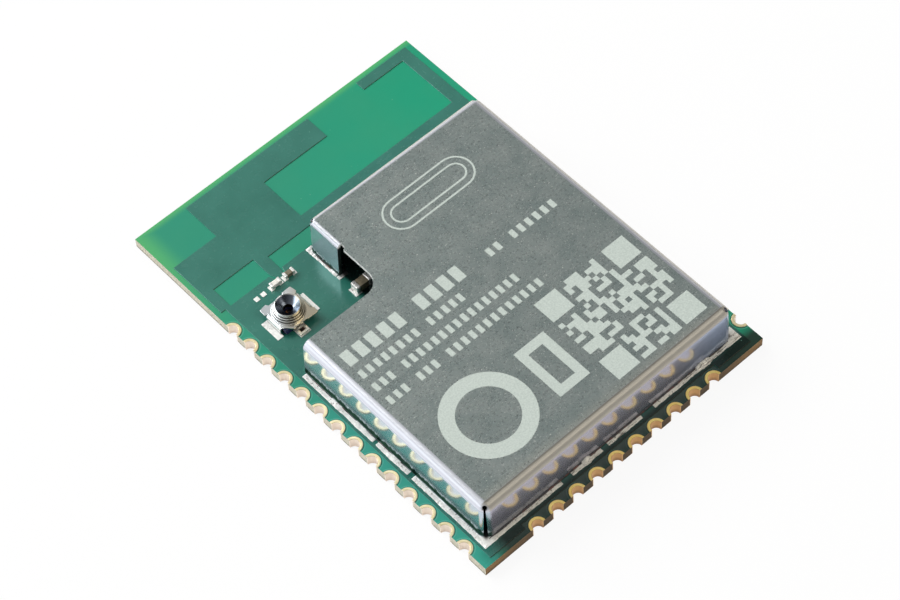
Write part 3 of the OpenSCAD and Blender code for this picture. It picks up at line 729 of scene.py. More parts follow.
def solder_material():
    """Solder that has set with a wrinkled skin, with dark cracks and pits."""
    p = Paint("solder")
    x, y, _ = p.xyz()
    patches = p.noise(4, 3)
    body = p.mix(p.span(patches, 0.35, 0.65), (255, 254, 250), (236, 236, 232))
    front = front_strip(p, 0.85, 1.45, 1, 1.6, smooth=False)
    # Painted warm light: the solder along the front edge tinted cream
    body = p.mix(p.times(front, 0.6), body, (255, 246, 224))
    # Cracks and pits lie along the walls, and not on the lands of the chips
    seam = p.absolute(p.minus(p.absolute(x), CAN_X))
    seam = p.least(seam, p.absolute(p.minus(y, CAN_FRONT)))
    seam = p.least(seam, p.absolute(p.minus(x, STUB_X)))
    near = p.fall(seam, 0.3, 0.5)
    cracks = p.span(p.noise(9, 4, 0.65), 0.56, 0.64)
    pits = p.times(cracks, near, p.span(p.noise(1.1, 1), 0.38, 0.55))
    streaks = p.span(p.noise(1.0, 3, 0.7, at=p.stretched(2.5, 16, 1)), 0.52, 0.6)
    streaks = p.times(streaks, front, p.span(p.noise(0.9, 1), 0.35, 0.5))
    pits = p.most(pits, streaks)
    body = p.mix(p.times(pits, 0.8), body, (84, 66, 50))
    p.set("Metallic", p.times(p.fall(pits, 0, 1), 0.12))
    skin = p.plus(p.noise(8, 3), p.times(p.noise(18, 2), 0.4))
    # Painted shade under the can
    return p.done(
        p.mix(p.times(under_can(p), 0.95), body, (6, 10, 10)),
        p.vary(patches, 0.28, 0.5),
        p.bump(p.times(skin, p.between(near, 0.4, 1)), 0.02),
    )


def flux_and_shade_material():
    """Thin burnt flux: dark, brown where it is thin, and glassy. It also serves as painted shadow,
    under the walls' feet and in dark patches by the connector.
    """
    p = Paint("flux")
    depth = p.noise(3, 3)
    return p.done(
        p.mix(p.span(depth, 0.5, 0.7), (16, 11, 9), (104, 50, 24)),
        p.vary(depth, 0.2, 0.45),
        p.bump(depth, 0.01),
    )


def coax_metal_material():
    """Plated brass: turned rings, warm on the right, and a polished funnel, with painted light: shade
    in the grooves, funnel and bore, a glint in the funnel, and shade low on the folded sides.
    """
    p = Paint("coax_metal", metallic=1.0)
    x, y, z = p.xyz()
    rings = p.noise(1.0, 2, at=p.stretched(0.5, 0.5, 30))
    stain = p.noise(1.6, 2)
    out_x = p.minus(x, COAX_AT.x)
    out_y = p.minus(y, COAX_AT.y)
    side = p.plus(p.minus(out_x, out_y), p.between(stain, -0.5, 0.5))
    body = p.mix(p.span(side, -0.6, 0.9), (240, 244, 246), (206, 196, 172))
    radius = p.length(out_x, out_y)
    # Painted shade in the grooves and in the funnel
    up = p.absolute(p.normal("Z"))
    for collar_r, high in BARREL_COLLARS:
        low = FLANGE_Z + COAX_SHEET + high
        groove = p.window(z, low - 0.01, low, low + GROOVE_H, low + GROOVE_H + 0.01)
        inner = p.fall(radius, collar_r - 0.06, collar_r - 0.02)
        body = p.mix(p.times(groove, inner, 0.85), body, (64, 56, 44))
    slope = p.window(up, 0.2, 0.35, 0.9, 0.97)
    funnel = p.times(slope, p.fall(radius, MOUTH_R - 0.07, MOUTH_R - 0.05))
    body = p.mix(funnel, body, (104, 110, 120))
    # Painted shade, near black, in the bore
    body = p.mix(p.span(radius, BORE_R, BORE_R + 0.01, 0.9, 0), body, (20, 18, 20))
    # Painted glint on the right of the funnel
    glint = p.times(funnel, p.span(p.minus(out_x, out_y), 0.25, 0.55, smooth=True))
    body = p.mix(glint, body, (214, 232, 246))
    # Painted shade on the folded sides, darker lower down
    body = p.mix(p.span(z, Z_TIN, FLANGE_Z, 0.7, 0), body, (120, 118, 106))
    return p.done(
        body,
        p.vary(rings, 0.16, 0.28),
        p.bump(p.plus(rings, p.noise(18, 2)), 0.003),
    )


def coax_plastic_material():
    p = Paint("coax_plastic")
    grain = p.noise(12, 3)
    return p.done(
        p.mix(grain, (22, 28, 58), (44, 56, 98)),
        p.vary(grain, 0.16, 0.28),
        p.bump(grain, 0.006),
    )


def clip_material():
    p = Paint("clip_metal", metallic=0.6)
    stain = p.noise(3, 2)
    return p.done(
        p.mix(stain, (246, 236, 208), (248, 246, 238)),
        p.vary(stain, 0.2, 0.35),
        p.bump(p.noise(14, 3), 0.004),
    )


def ceramic_material(name, light, dark, roughness):
    """Fired ceramic: mottled, a little pitted, with a dull gloss."""
    p = Paint(name)
    mottle = p.noise(8, 4, 0.6)
    return p.done(
        p.mix(p.vary(mottle, 0, 1), dark, light),
        p.vary(mottle, roughness - 0.06, roughness + 0.1),
        p.bump(p.noise(20, 3), 0.004),
    )


def cap_material():
    """Tinned end caps, with the soft dents of a dipped coating."""
    p = Paint("end_cap", metallic=0.6)
    dents = p.noise(6, 2)
    return p.done(
        p.mix(dents, (252, 250, 246), (232, 230, 226)),
        p.vary(dents, 0.22, 0.4),
        p.bump(dents, 0.02),
    )


def moulded_material(name, light, dark):
    """Moulded package: fine pits over a slow change of tone."""
    p = Paint(name)
    pits = p.cells(12)
    tone = p.noise(1.2, 3)
    return p.done(
        p.mix(p.vary(tone, 0, 1), dark, light),
        p.span(pits, 0, 0.6, 0.45, 0.65),
        p.bump(pits, 0.008),
    )


def lid_material():
    p = Paint("lid_metal", metallic=1.0)
    brushing = p.noise(1.0, 3, at=p.stretched(2, 24, 4))
    return p.done(
        p.mix(brushing, (214, 208, 196), (236, 232, 222)),
        p.vary(brushing, 0.2, 0.38),
        p.bump(brushing, 0.004),
    )


# --------------------------------------------------------------- board pieces

def dress_board():
    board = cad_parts["board"]
    board.data.materials.clear()
    board.data.materials.append(laminate_material())


def terminal_profile():
    """Section of a plated hole with its ring: (radius, height), edges rounded."""
    edge = 0.016
    return (
        [(HOLE_R, 0.0)]
        + arc(HOLE_R + edge, Z_MASK - edge, edge, 180, 90, 3)
        + arc(RING_R - edge, Z_MASK - edge, edge, 90, 0, 3)
        + [(RING_R, BOARD_T), (DRILL_R, BOARD_T), (DRILL_R, 0.0)]
    )


def terminal_places():
    """Where the terminals of each row are: the turn and place of each one."""
    side_y = [BOARD_LOW.y + ROW_START + i * PITCH for i in range(SIDE_COUNT)]
    front_x = [(i - (FRONT_COUNT - 1) / 2) * PITCH for i in range(FRONT_COUNT)]
    return {
        "terminals_left": [(-90, BOARD_LOW.x, y) for y in side_y],
        "terminals_front": [(0, x, BOARD_LOW.y) for x in front_x],
        "terminals_right": [(90, BOARD_HIGH.x, y) for y in side_y],
    }


def make_terminals(gold):
    steps = 28
    foot = (
        [(RING_R, 0), (RING_R, FOOT_L), (-RING_R, FOOT_L), (-RING_R, 0)]
        + arc(0, 0, DRILL_R, 180, 0, steps)
    )
    for row, places in terminal_places().items():
        shape = Shape()
        for turn, x, y in places:
            place = turned(x, y, 0, turn)
            shape.lathe(terminal_profile(), steps, 0, 180, place)
            shape.prism(foot, 0, COPPER_T, place)
        finish_shape(row + "_plated", shape, gold, [row])


# ------------------------------------------------------------------ shield can

def can_stations():
    """Points round the can's walls where the bent section stands: the axis of the
    bend, its outward angle in degrees and its radius. It runs from the short wall's
    end, round the back, right and front, to the left wall's free end."""
    steps = 14
    corners = [
        (STUB_X + STUB_BEND_R, CAN_BACK - STUB_BEND_R, 180, STUB_BEND_R),
        (CAN_X - BEND_R, CAN_BACK - BEND_R, 90, BEND_R),
        (CAN_X - BEND_R, CAN_FRONT + BEND_R, 0, BEND_R),
        (-CAN_X + BEND_R, CAN_FRONT + BEND_R, -90, BEND_R),
    ]
    stations = [(STUB_X + STUB_BEND_R, STUB_END, 180, STUB_BEND_R)]
    for x, y, start, radius in corners:
        stations += [(x, y, start - 90 * i / steps, radius) for i in range(steps + 1)]
    return stations + [(-CAN_X + BEND_R, FREE_Y, -180, BEND_R)]


def can_outer_surface():
    """The sheet's outer surface: bent walls and corners, then the flat top."""
    bend_steps = 10
    rings = []
    for x, y, angle, radius in can_stations():
        out = pointing(angle)
        axis = Vector((x, y, CAN_TOP - radius))
        foot = Vector((x, y, CAN_FOOT)) + out * (radius + WALL_FLARE)
        bends = [math.radians(90 * i / bend_steps) for i in range(bend_steps + 1)]
        bent = [axis + out * radius * math.cos(b) + upwards(radius * math.sin(b)) for b in bends]
        rings.append([foot] + bent)
    shape = Shape()
    shape.loft(rings, closed=False)
    rim = [(ring[-1].x, ring[-1].y) for ring in rings]
    notch = (
        arc(FREE_X - NOTCH_R, FREE_Y + NOTCH_R, NOTCH_R, -90, 0, 20)
        + [(FREE_X, STUB_END - 2 * RELIEF_R)]
        + arc(STUB_X + STUB_BEND_R - RELIEF_R, STUB_END - RELIEF_R, RELIEF_R, -70, 0, 8)
    )
    top = []
    for x, y in rim + notch:
        if not top or (Vector((x, y)) - Vector(top[-1])).length > 1e-4:
            top.append((x, y))
    base = len(shape.points)
    shape.points += [Vector((x, y, CAN_TOP)) for x, y in top]
    shape.faces.append([base + i for i in range(len(top))])
    return shape


def corner_axes():
    """Upright axis of each corner's bend, the angle that points outwards, and the
    bend's radius."""
    return [
        (-CAN_X + BEND_R, CAN_FRONT + BEND_R, 225, BEND_R),
        (CAN_X - BEND_R, CAN_FRONT + BEND_R, 315, BEND_R),
        (CAN_X - BEND_R, CAN_BACK - BEND_R, 45, BEND_R),
        (STUB_X + STUB_BEND_R, CAN_BACK - STUB_BEND_R, 135, STUB_BEND_R),
    ]


def slit_cutter():
    """A slit through each corner that widens downwards."""
    shape = Shape()
    below_foot, under_top = 0.2, 0.35
    inside, outside = 0.02, 1.0
    for x, y, turn, radius in corner_axes():
        foot, top = upwards(CAN_FOOT - below_foot), upwards(CAN_TOP - radius * under_top)
        across = pointing(turn + 90)
        rings = []
        for reach in (inside, outside):
            middle = Vector((x, y, 0)) + pointing(turn) * reach
            rings.append([
                middle - across * SLIT_FOOT / 2 + foot,
                middle + across * SLIT_FOOT / 2 + foot,
                middle + across * SLIT_TOP / 2 + top,
                middle - across * SLIT_TOP / 2 + top,
            ])
        shape.loft(rings)
    return shape


def keyhole_cutter():
    """The round relief at the top of each slit, square to the rounded corner."""
    shape = Shape()
    for x, y, turn, radius in corner_axes():
        tilt = Matrix.Rotation(math.radians(90 - KEYHOLE_RISE), 4, "Y")
        place = turned(x, y, CAN_TOP - radius, turn) @ tilt
        shape.prism(circle(0, 0, KEYHOLE_R, 32), radius - SHEET - 0.03, radius + 0.3, place)
    return shape


def cut_away(obj, cutter_shape):
    """Takes a shape's closed bodies out of an object."""
    cutter = as_object("cutter", cutter_shape)
    cut = obj.modifiers.new("cut", "BOOLEAN")
    cut.operation = "DIFFERENCE"
    cut.solver = "EXACT"
    cut.object = cutter
    apply_modifiers(obj)
    bpy.data.objects.remove(cutter)


def make_can():
    obj = as_object("shield_can_sheet", can_outer_surface())
    materials = [can_material(), cut_edge_material()]
    for material in materials:
        obj.data.materials.append(material)
    sheet = obj.modifiers.new("sheet", "SOLIDIFY")
    sheet.thickness = SHEET
    sheet.offset = -1
    sheet.use_even_offset = True
    sheet.material_offset_rim = 1
    apply_modifiers(obj)
    cut_away(obj, slit_cutter())
    cut_away(obj, keyhole_cutter())
    tidy_mesh(obj.data)
    soften(obj, CAN_BEVEL, 3, angle=50)
    shade(obj, 40)
    finish_piece(obj, None, ["shield_can"])


# ---------------------------------------------------------------- solder seams

# Waves along the outer edge of the solder: shift of the seed, pitch and size
EDGE_WAVES = [(0, 0.5, 0.02), (3, 0.16, 0.014), (4, 0.07, 0.01)]


def wave(s, seed, pitch):
    """Smooth random value between about -1 and 1 along a seam."""
    return noise.noise(Vector((s / pitch, seed, 0.5)))


def seam_rings(s0, s1, seed, foot, out, heaps):
    """Sections of a run of solder from s0 to s1 beside a wall, as lists of
    (u, s, z): the wall's drawn face is on u = 0, its real foot is at foot, and the
    outside is at negative u. Each heap is (place, half length, height)."""
    step, columns, rim = 0.04, 7, 0.012
    count = max(8, int((s1 - s0) / step))
    rings = []
    for i in range(count + 1):
        s = s0 + (s1 - s0) * i / count
        near_end = min(1.0, min(s - s0, s1 - s) / SOLDER_FADE)
        end = math.sqrt(max(0.0, 1 - (1 - near_end) ** 2)) * 0.5 + 0.5
        heap = 0.0
        for place, half, height in heaps:
            share = max(0.0, 1 - ((s - place) / half) ** 2)
            heap += height * share * (0.8 + 0.4 * wave(s, seed + 11, 0.12))
        edge = sum(size * wave(s, seed + shift, pitch) for shift, pitch, size in EDGE_WAVES)
        width = (out - 0.02 + edge + min(0.07, heap * 0.35)) * (0.9 + 0.1 * end)
        skin = TIN_T * (0.8 + 0.2 * wave(s, seed + 5, 0.3)) * end
        ring = [(-width, s, Z_MASK), (-width, s, Z_MASK + skin * 0.5)]
        for j in range(columns):
            t = j / (columns - 1)
            u = rim - width + (width - rim + foot) * t
            rough = 0.018 * wave(s + j * 7, seed + j * 0.35, 0.11) * (1 - 0.5 * t)
            ring.append((u, s, Z_MASK + skin + max(rough, -rim) + heap * min(1.0, 0.25 + t)))
        ring += [(foot + 0.01, s, Z_TIN), (SHEET + SEAM_IN, s, Z_TIN), (SHEET + SEAM_IN, s, Z_MASK)]
        rings.append(ring)
    return rings


def flux_and_shadow_rings(s0, s1, seed, foot, reach):
    """Sections of the dark line at the foot of a wall, which comes and goes: burnt flux, and painted
    shadow of the gap under the wall.
    """
    step = 0.05
    count = max(8, int((s1 - s0) / step))
    rings = []
    for i in range(count + 1):
        s = s0 + (s1 - s0) * i / count
        near_end = min(1.0, min(s - s0, s1 - s) / FLUX_FADE)
        wide = reach * (1 + 0.5 * wave(s, seed + 21, 0.7) + 0.25 * wave(s, seed + 22, 0.13))
        wide = max(0.004, wide * near_end)
        z = Z_TIN + FLUX_LIFT
        high = FLUX_T + wide * 0.35
        inner = foot + 0.02
        rings.append([
            (inner, s, z - FLUX_SINK),
            (foot - wide, s, z - FLUX_SINK),
            (foot - wide, s, z + high * 0.4),
            (foot - wide * 0.5, s, z + high),
            (inner, s, z + high * 1.3),
        ])
    return rings


def stretches(s0, s1, gaps):
    starts = [s0] + [middle + width / 2 for middle, width in gaps]
    ends = [middle - width / 2 for middle, width in gaps] + [s1]
    return list(zip(starts, ends))


def wall_place(x, y, turn, flip=1):
    """Frame of a wall: u inwards from its outer face, s along it."""
    return turned(x, y, 0, turn) @ Matrix.Diagonal((flip, 1, 1, 1))


def corner_land(shape, x, y, sx, sy, seed, out):
    """Land under a rounded corner of the can, with its own low heap of solder."""
    reach = out + max(BEND_R, SHEET + SEAM_IN)
    rings = []
    rows = 16
    for i in range(rows + 1):
        a = i / rows
        ring = []
        for j in range(rows + 1):
            b = j / rows
            u = -out + reach * a
            v = -SEAM_OUT + reach * b
            outside = BEND_R - math.hypot(min(0, u - BEND_R), min(0, v - BEND_R))
            under = outside > -WALL_FLARE - 0.02
            bump = 0.04 * noise.noise(Vector((u * 11, v * 11, seed)))
            z = Z_TIN if under else Z_MASK + TIN_T * 0.8 + bump
            rim = min(a, b) * rows
            if rim < 0.5:
                z = Z_MASK + 0.01
            ring.append((x + sx * u, y + sy * v, z))
        ring = [(ring[0][0], ring[0][1], Z_MASK)] + ring + [(ring[-1][0], ring[-1][1], Z_MASK)]
        rings.append(ring)
    shape.loft(rings)


def make_seams(solder):
    """Solder along every wall, and at the walls' feet a dark line of burnt flux that also stands for
    the painted shadow under them.
    """
    corner = max(BEND_R, SHEET + SEAM_IN)
    front_y, back_y = CAN_LOW.y, CAN_HIGH.y
    side_foot, front_foot, back_foot = -WALL_FLARE, SET_BACK - WALL_FLARE, -SET_BACK - WALL_FLARE
    left, right = wall_place(-CAN_X, 0, 0), wall_place(CAN_X, 0, 0, -1)
    front = wall_place(0, front_y, 90) @ Matrix.Diagonal((1, -1, 1, 1))
    back, notch = wall_place(0, back_y, -90), wall_place(STUB_X, 0, 0)
    side_ends = (front_y + corner, back_y - corner)
    drop_end = STUB_END + SEAM_STOP
    # Seam, wall, ends, seed, foot of the wall, gaps, reach and heaps
    runs = [
        ("left", left, (side_ends[0], FREE_Y - SEAM_STOP), 1.3, side_foot,
         SIDE_GAPS, SIDE_SEAM_OUT, SIDE_HEAPS),
        ("right", right, side_ends, 4.1, side_foot, SIDE_GAPS, SEAM_OUT, ()),
        ("front", front, (-CAN_X + corner, CAN_X - corner), 7.7, front_foot,
         FRONT_GAPS, SEAM_OUT, FRONT_HEAPS),
        ("back", back, (STUB_X + corner, CAN_X - corner), 9.2, back_foot, BACK_GAPS, SEAM_OUT, ()),
        ("notch", notch, (drop_end + SEAM_STOP, side_ends[1]), 12.4, side_foot,
         (), SEAM_OUT, NOTCH_HEAPS),
        ("notch", notch, (drop_end - DROP_L, drop_end), 15.1, side_foot, (), SEAM_OUT, ()),
    ]
    # Seam, corner of the can, the way inwards along X and Y, seed and reach
    lands = [
        ("front", -CAN_X, front_y, 1, 1, 2.0, SIDE_SEAM_OUT),
        ("front", CAN_X, front_y, -1, 1, 5.0, SIDE_SEAM_OUT),
        ("back", CAN_X, back_y, -1, -1, 8.0, SEAM_OUT),
        ("notch", STUB_X, back_y, 1, -1, 11.0, SEAM_OUT),
    ]
    # Wall, ends, seed, foot of the wall and reach
    flux_and_shadow_lines = [
        (left, (SIDE_GAPS[0][0] + 0.2, FREE_Y - 0.2), 1.3, side_foot, 0.022),
        (right, side_ends, 4.1, side_foot, 0.03),
        (front, (-CAN_X + 0.1, CAN_X - 0.3), 7.7, front_foot, 0.055),
        (notch, (drop_end, back_y - 0.1), 12.4, side_foot, 0.035),
    ]
    shapes = {}
    for name, place, ends, seed, *rest in runs:
        shape = shapes.setdefault(name, Shape())
        foot, gaps, out, heaps = rest
        for k, (start, end) in enumerate(stretches(*ends, gaps)):
            shape.loft(seam_rings(start, end, seed + k * SEED_STEP, foot, out, heaps), place=place)
    for name, *land in lands:
        corner_land(shapes[name], *land)
    for name, shape in shapes.items():
        finish_shape("seam_%s_solder" % name, shape, solder, ["seam_" + name], SEAM_ANGLE)

    flux = Shape()
    for place, ends, seed, foot, reach in flux_and_shadow_lines:
        flux.loft(flux_and_shadow_rings(*ends, seed, foot, reach), place=place)
    # Dark patches of painted shadow, in the flux's material, in the window of the connector's contact
    # and beside its folded side
    shadow_patch(flux, COAX_AT.x - 0.1, COAX_LOW.y - 0.055, 0.13, 0.1, 0.03)
    shadow_patch(flux, COAX_HIGH.x + 0.035, COAX_AT.y - 0.2, 0.03, 0.2, 0.02)
    finish_shape("flux_and_shadow_line", flux, flux_and_shade_material(), angle=SEAM_ANGLE)


def shadow_patch(shape, x, y, half_x, half_y, high):
    shape.box((x - half_x, y - half_y, Z_TIN + 0.001), (x + half_x, y + half_y, Z_TIN + high))


# ------------------------------------------------------------------- connector

def barrel_profile():
    """Turned barrel: skirt, collars and mouth outside, a steep funnel inside."""
    z0 = FLANGE_Z + COAX_SHEET
    top = COAX_HIGH.z
    edge = 0.022
    funnel_end = z0 + FUNNEL_LOW
    outside = [(BORE_R, z0 - 0.001), (MOUTH_R + 0.2, z0 - 0.001)]
    for radius, high in BARREL_COLLARS:
        outside += arc(radius - edge, z0 + high - edge, edge, 0, 90, 3)
        outside += [(radius - GROOVE_D, z0 + high), (radius - GROOVE_D, z0 + high + GROOVE_H)]
        outside += [(radius - GROOVE_D + 0.04, z0 + high + GROOVE_H)]
    mouth_low = z0 + BARREL_COLLARS[-1][1] + GROOVE_H
    mouth = (
        arc(MOUTH_R - edge, mouth_low + edge, edge, -90, 0, 3)
        + arc(MOUTH_R - edge, top - edge, edge, 0, 90, 4)
    )
    wide = MOUTH_R - MOUTH_WALL
    funnel = []
    depth = top - 0.03 - funnel_end
    for t in (1, 0.8, 0.6, 0.4, 0.2, 0):
        funnel.append((BORE_R + (wide - BORE_R) * t ** 0.85, funnel_end + depth * t))
    return outside + mouth + funnel


def flange_outline():
    """Flange with two folded sides, ears at the back corners, and the corner over
    the base cut away."""
    half = COAX_HALF
    bend = half - FOLD_R
    soft = 0.06
    front = -half + FRONT_IN
    back = half - BACK_IN
    near = FOLD_NEAR - TAB_RELIEF_R
    far = FOLD_FAR + TAB_RELIEF_R

    def relief(side, y):
        """Half-round relief between a folded side and its corner."""
        start, end = (-90, -270) if side > 0 else (90, -90)
        return arc(side * half, y, TAB_RELIEF_R, start, end, 10)

    return (
        [(-bend, FOLD_NEAR), (-bend + 0.04, FOLD_NEAR - 0.05), (CUT_END, front)]
        + [(FRONT_STEP[0], front), (FRONT_STEP[1], -half)]
        + arc(half - soft, -half + soft, soft, -90, 0, 5)
        + relief(1, near)[:6]
        + [(bend, near), (bend, FOLD_NEAR), (bend, FOLD_FAR), (bend, far)]
        + relief(1, far)[5:]
        + arc(half - 2 * soft, half - soft, soft, 0, 90, 5)
        + [(RIGHT_EAR[1], half - 0.02), (RIGHT_EAR[0], back), (LEFT_EAR[0], back), (LEFT_EAR[1], half)]
        + arc(-half + soft, half - 2 * soft, soft, 90, 180, 5)
        + relief(-1, far)[:6]
        + [(-bend, far), (-bend, FOLD_FAR)]
    )


def fold_section():
    """Section of a folded side: (x, z) from the flange down to its land."""
    steps = 8
    axis_x, axis_z = -COAX_HALF + FOLD_R, FLANGE_Z + COAX_SHEET - FOLD_R
    outer = arc(axis_x, axis_z, FOLD_R, 90, 180, steps)
    inner = arc(axis_x, axis_z, FOLD_R - COAX_SHEET, 180, 90, steps)
    return outer + [(-COAX_HALF, Z_TIN), (-COAX_HALF + COAX_SHEET, Z_TIN)] + inner


def make_coax_shell(metal):
    steps = 72
    at = Matrix.Translation(COAX_AT)
    flange_shape = Shape()
    flange_shape.prism(flange_outline(), FLANGE_Z, FLANGE_Z + COAX_SHEET, at)
    obj = as_object("coax_shell_turned", flange_shape)
    hole = Shape()
    hole.prism(circle(0, 0, BORE_R, steps), FLANGE_Z - 1, FLANGE_Z + 1, at)
    cut_away(obj, hole)
    tidy_mesh(obj.data)
    soften(obj, FLANGE_BEVEL, 3, angle=50)
    rest = Shape()
    rest.lathe(barrel_profile(), steps, place=at)
    for side in (1, -1):
        section = fold_section()
        rings = [[(side * x, y, z) for x, z in section] for y in (FOLD_NEAR, FOLD_FAR)]
        rest.loft(rings, place=at)
    join_shape(obj, rest)
    shade(obj, 40)
    finish_piece(obj, metal, ["coax_shell"])


def join_shape(obj, shape):
    """Adds a shape's closed bodies to an object's mesh."""
    other = as_object("rest", shape)
    bm = bmesh.new()
    bm.from_mesh(obj.data)
    bm.from_mesh(other.data)
    bm.to_mesh(obj.data)
    bm.free()
    bpy.data.objects.remove(other)


def make_coax_pin(metal):
    """Contact at the bottom of the bore, with a shallow dish."""
    low, high = box_mm("coax_pin")
    r = BORE_R - 0.002
    profile = [(0.0, high.z - 0.05), (0.06, high.z - 0.045), (0.12, high.z - 0.01), (0.16, high.z)]
    profile += [(r - 0.03, high.z), (r, high.z - 0.03), (r, low.z), (0.0, low.z)]
    shape = Shape()
    shape.lathe(profile, 48, place=Matrix.Translation(COAX_AT))
    finish_shape("coax_pin_turned", shape, metal, ["coax_pin"])


# --------------------------------------------------------------- marks on top

# Twin outlines of an oval
OVAL_AT, OVAL_HALF, OVAL_R = (2.2, 3.3), 2.75, 1.0
OVAL_LINE, OVAL_GAP = 0.1, 0.42
# Rows of dashes: from x to x, from y to y, places, filled share, blank places
DASH_ROWS = [
    (1.8, 6.4, -1.6, -1.1, 9, 0.55, (2,)),
    (-7.15, 0.45, -1.62, -0.74, 10, 0.68, (5,)),
    (-7.15, -0.5, -2.55, -2.05, 14, 0.55, (8,)),
    (-7.15, 2.1, -3.52, -3.02, 20, 0.55, (3,)),
    (-7.15, 2.75, -4.5, -4.0, 21, 0.55, (3, 7)),
]
# A broad ring, a broad upright frame and a square of cells
RING_AT, RING_MARK_R, RING_STROKE = (-4.3, -8.0), 2.35, 0.8
FRAME_LOW, FRAME_HIGH, FRAME_STROKE = (-1.25, -9.6), (0.65, -6.4), 0.5
CELLS_AT, CELL_COUNT, CELL_SIDE, CELL_CORNER = (1.35, -10.8), 21, 0.275, 5


def bar(shape, x0, y0, x1, y1):
    shape.box((x0, y0, CAN_TOP), (x1, y1, CAN_TOP + MARK_T))


def dash_row(shape, x0, x1, y0, y1, count, share, blanks):
    """A row of equal upright dashes, with some places left blank."""
    pitch = (x1 - x0) / count
    for i in range(count):
        if i not in blanks:
            bar(shape, x0 + i * pitch, y0, x0 + (i + share) * pitch, y1)


def capsule(cx, cy, half_l, radius, steps=16):
    """Outline of a capsule that lies along X."""
    return (
        arc(cx + half_l - radius, cy, radius, -90, 90, steps)
        + arc(cx - half_l + radius, cy, radius, 90, 270, steps)
    )


def band(shape, outer, inner):
    """A flat band between two closed outlines with as many points each."""
    z0, z1 = CAN_TOP, CAN_TOP + MARK_T
    rings = []
    for a, b in zip(outer, inner):
        rings.append([(a[0], a[1], z0), (a[0], a[1], z1), (b[0], b[1], z1), (b[0], b[1], z0)])
    shape.loft(rings, around=True)


def make_marks():
    """Plain marks where such a module is marked: outlines, dashes and cells that
    spell nothing."""
    shape = Shape()
    for shrink in (0.0, OVAL_GAP):
        insets = (shrink, shrink + OVAL_LINE)
        band(shape, *(capsule(*OVAL_AT, OVAL_HALF - inset, OVAL_R - inset) for inset in insets))
    for row in DASH_ROWS:
        dash_row(shape, *row)
    band(shape, *(circle(*RING_AT, RING_MARK_R - inset, 72) for inset in (0, RING_STROKE)))
    band(shape, *(rectangle(FRAME_LOW, FRAME_HIGH, inset) for inset in (0, FRAME_STROKE)))
    cell_block(shape, *CELLS_AT, CELL_COUNT, CELL_SIDE)
    obj = as_object("top_marks", shape)
    finish_piece(obj, mark_material())


def rectangle(low, high, inset):
    """Outline of an upright rectangle, drawn in by an inset."""
    x0, y0, x1, y1 = low[0] + inset, low[1] + inset, high[0] - inset, high[1] - inset
    return [(x0, y0), (x1, y0), (x1, y1), (x0, y1)]


def cell_block(shape, x0, y0, count, side):
    """A square of cells from a plain rule, with a solid square in each corner."""
    def cells(i, j, size=1):
        bar(shape, x0 + i * side, y0 + j * side, x0 + (i + size) * side, y0 + (j + size) * side)

    for i in range(count):
        for j in range(count):
            to_corner = max(min(i, count - 1 - i), min(j, count - 1 - j))
            if to_corner > CELL_CORNER and (i * i + 3 * j + i * j + (i * j) // 3) % 7 < 4:
                cells(i, j)
    other_end = count - CELL_CORNER
    for i, j in ((0, 0), (other_end, 0), (0, other_end), (other_end, other_end)):
        cells(i, j, CELL_CORNER)


# ------------------------------------------------------------ camera and light

# Where the product view looks from: azimuth, elevation and roll in degrees
CAMERA_TURNS = (-38.503, 56.05, -4.643)
CAMERA_TARGET = Vector((0.007, -0.434, 0.0))
CAMERA_DISTANCE = 136.36
LENS = 112.199
SENSOR = 36
CLIP_ENDS = (0.01, 10)
# Lamps: name, direction, distance and size in metres, power in watts, tint
LAMPS = [
    ("key", (-0.35, 0.95, 0.8), 0.36, (0.26, 0.2), 1.0, (1.0, 1.0, 1.0)),
    ("left", (-0.83, 0.44, 0.35), 0.34, (0.22, 0.16), 0.13, (0.95, 0.97, 1.0)),
    ("back", (0.35, 1.0, 0.38), 0.4, (0.34, 0.12), 0.1, (1.0, 0.98, 0.95)),
    ("front", (0.35, -0.52, 0.8), 0.34, (0.2, 0.2), 0.3, (1.0, 0.95, 0.85)),
    ("low_front", (0.4, -1.0, 0.32), 0.4, (0.5, 0.26), 0.13, (0.92, 0.92, 1.0)),
]
ROOM_BRIGHT_SIDE = (-0.4, 0.75, 0.53)
ROOM_DARK_END = -0.45
ROOM_LEVELS = (0.03, 0.62)
ROOM_TINT = (0.97, 0.985, 1.0, 1)
FLOOR_HALF = 600
FLOOR_LOW, FLOOR_TOP = -1.005, -0.005
FLOOR_TONES = ((0.93, 0.93, 0.93, 1), (0.96, 0.96, 0.96, 1))


def make_camera():
    """Camera of the product view, with a small roll."""
    azimuth, elevation, roll = CAMERA_TURNS
    data = bpy.data.cameras.new("camera")
    data.sensor_width = SENSOR
    data.lens = LENS
    data.clip_start, data.clip_end = CLIP_ENDS
    camera = add_object("camera", data)
    camera.matrix_world = (
        turned(*(CAMERA_TARGET * MM), azimuth)
        @ Matrix.Rotation(math.radians(90 - elevation), 4, "X")
        @ turned(0, 0, CAMERA_DISTANCE * MM, roll)
    )
    bpy.context.scene.camera = camera


def make_lamp(name, direction, distance, size, power, tint):
    """A soft box that looks at the middle of the board."""
    data = bpy.data.lights.new(name, "AREA")
    data.shape = "RECTANGLE"
    data.size, data.size_y = size
    data.energy = power
    data.color = tint
    lamp = add_object(name, data)
    direction = Vector(direction).normalized()
    lamp.location = direction * distance
    lamp.rotation_mode = "QUATERNION"
    lamp.rotation_quaternion = direction.to_track_quat("Z", "Y")


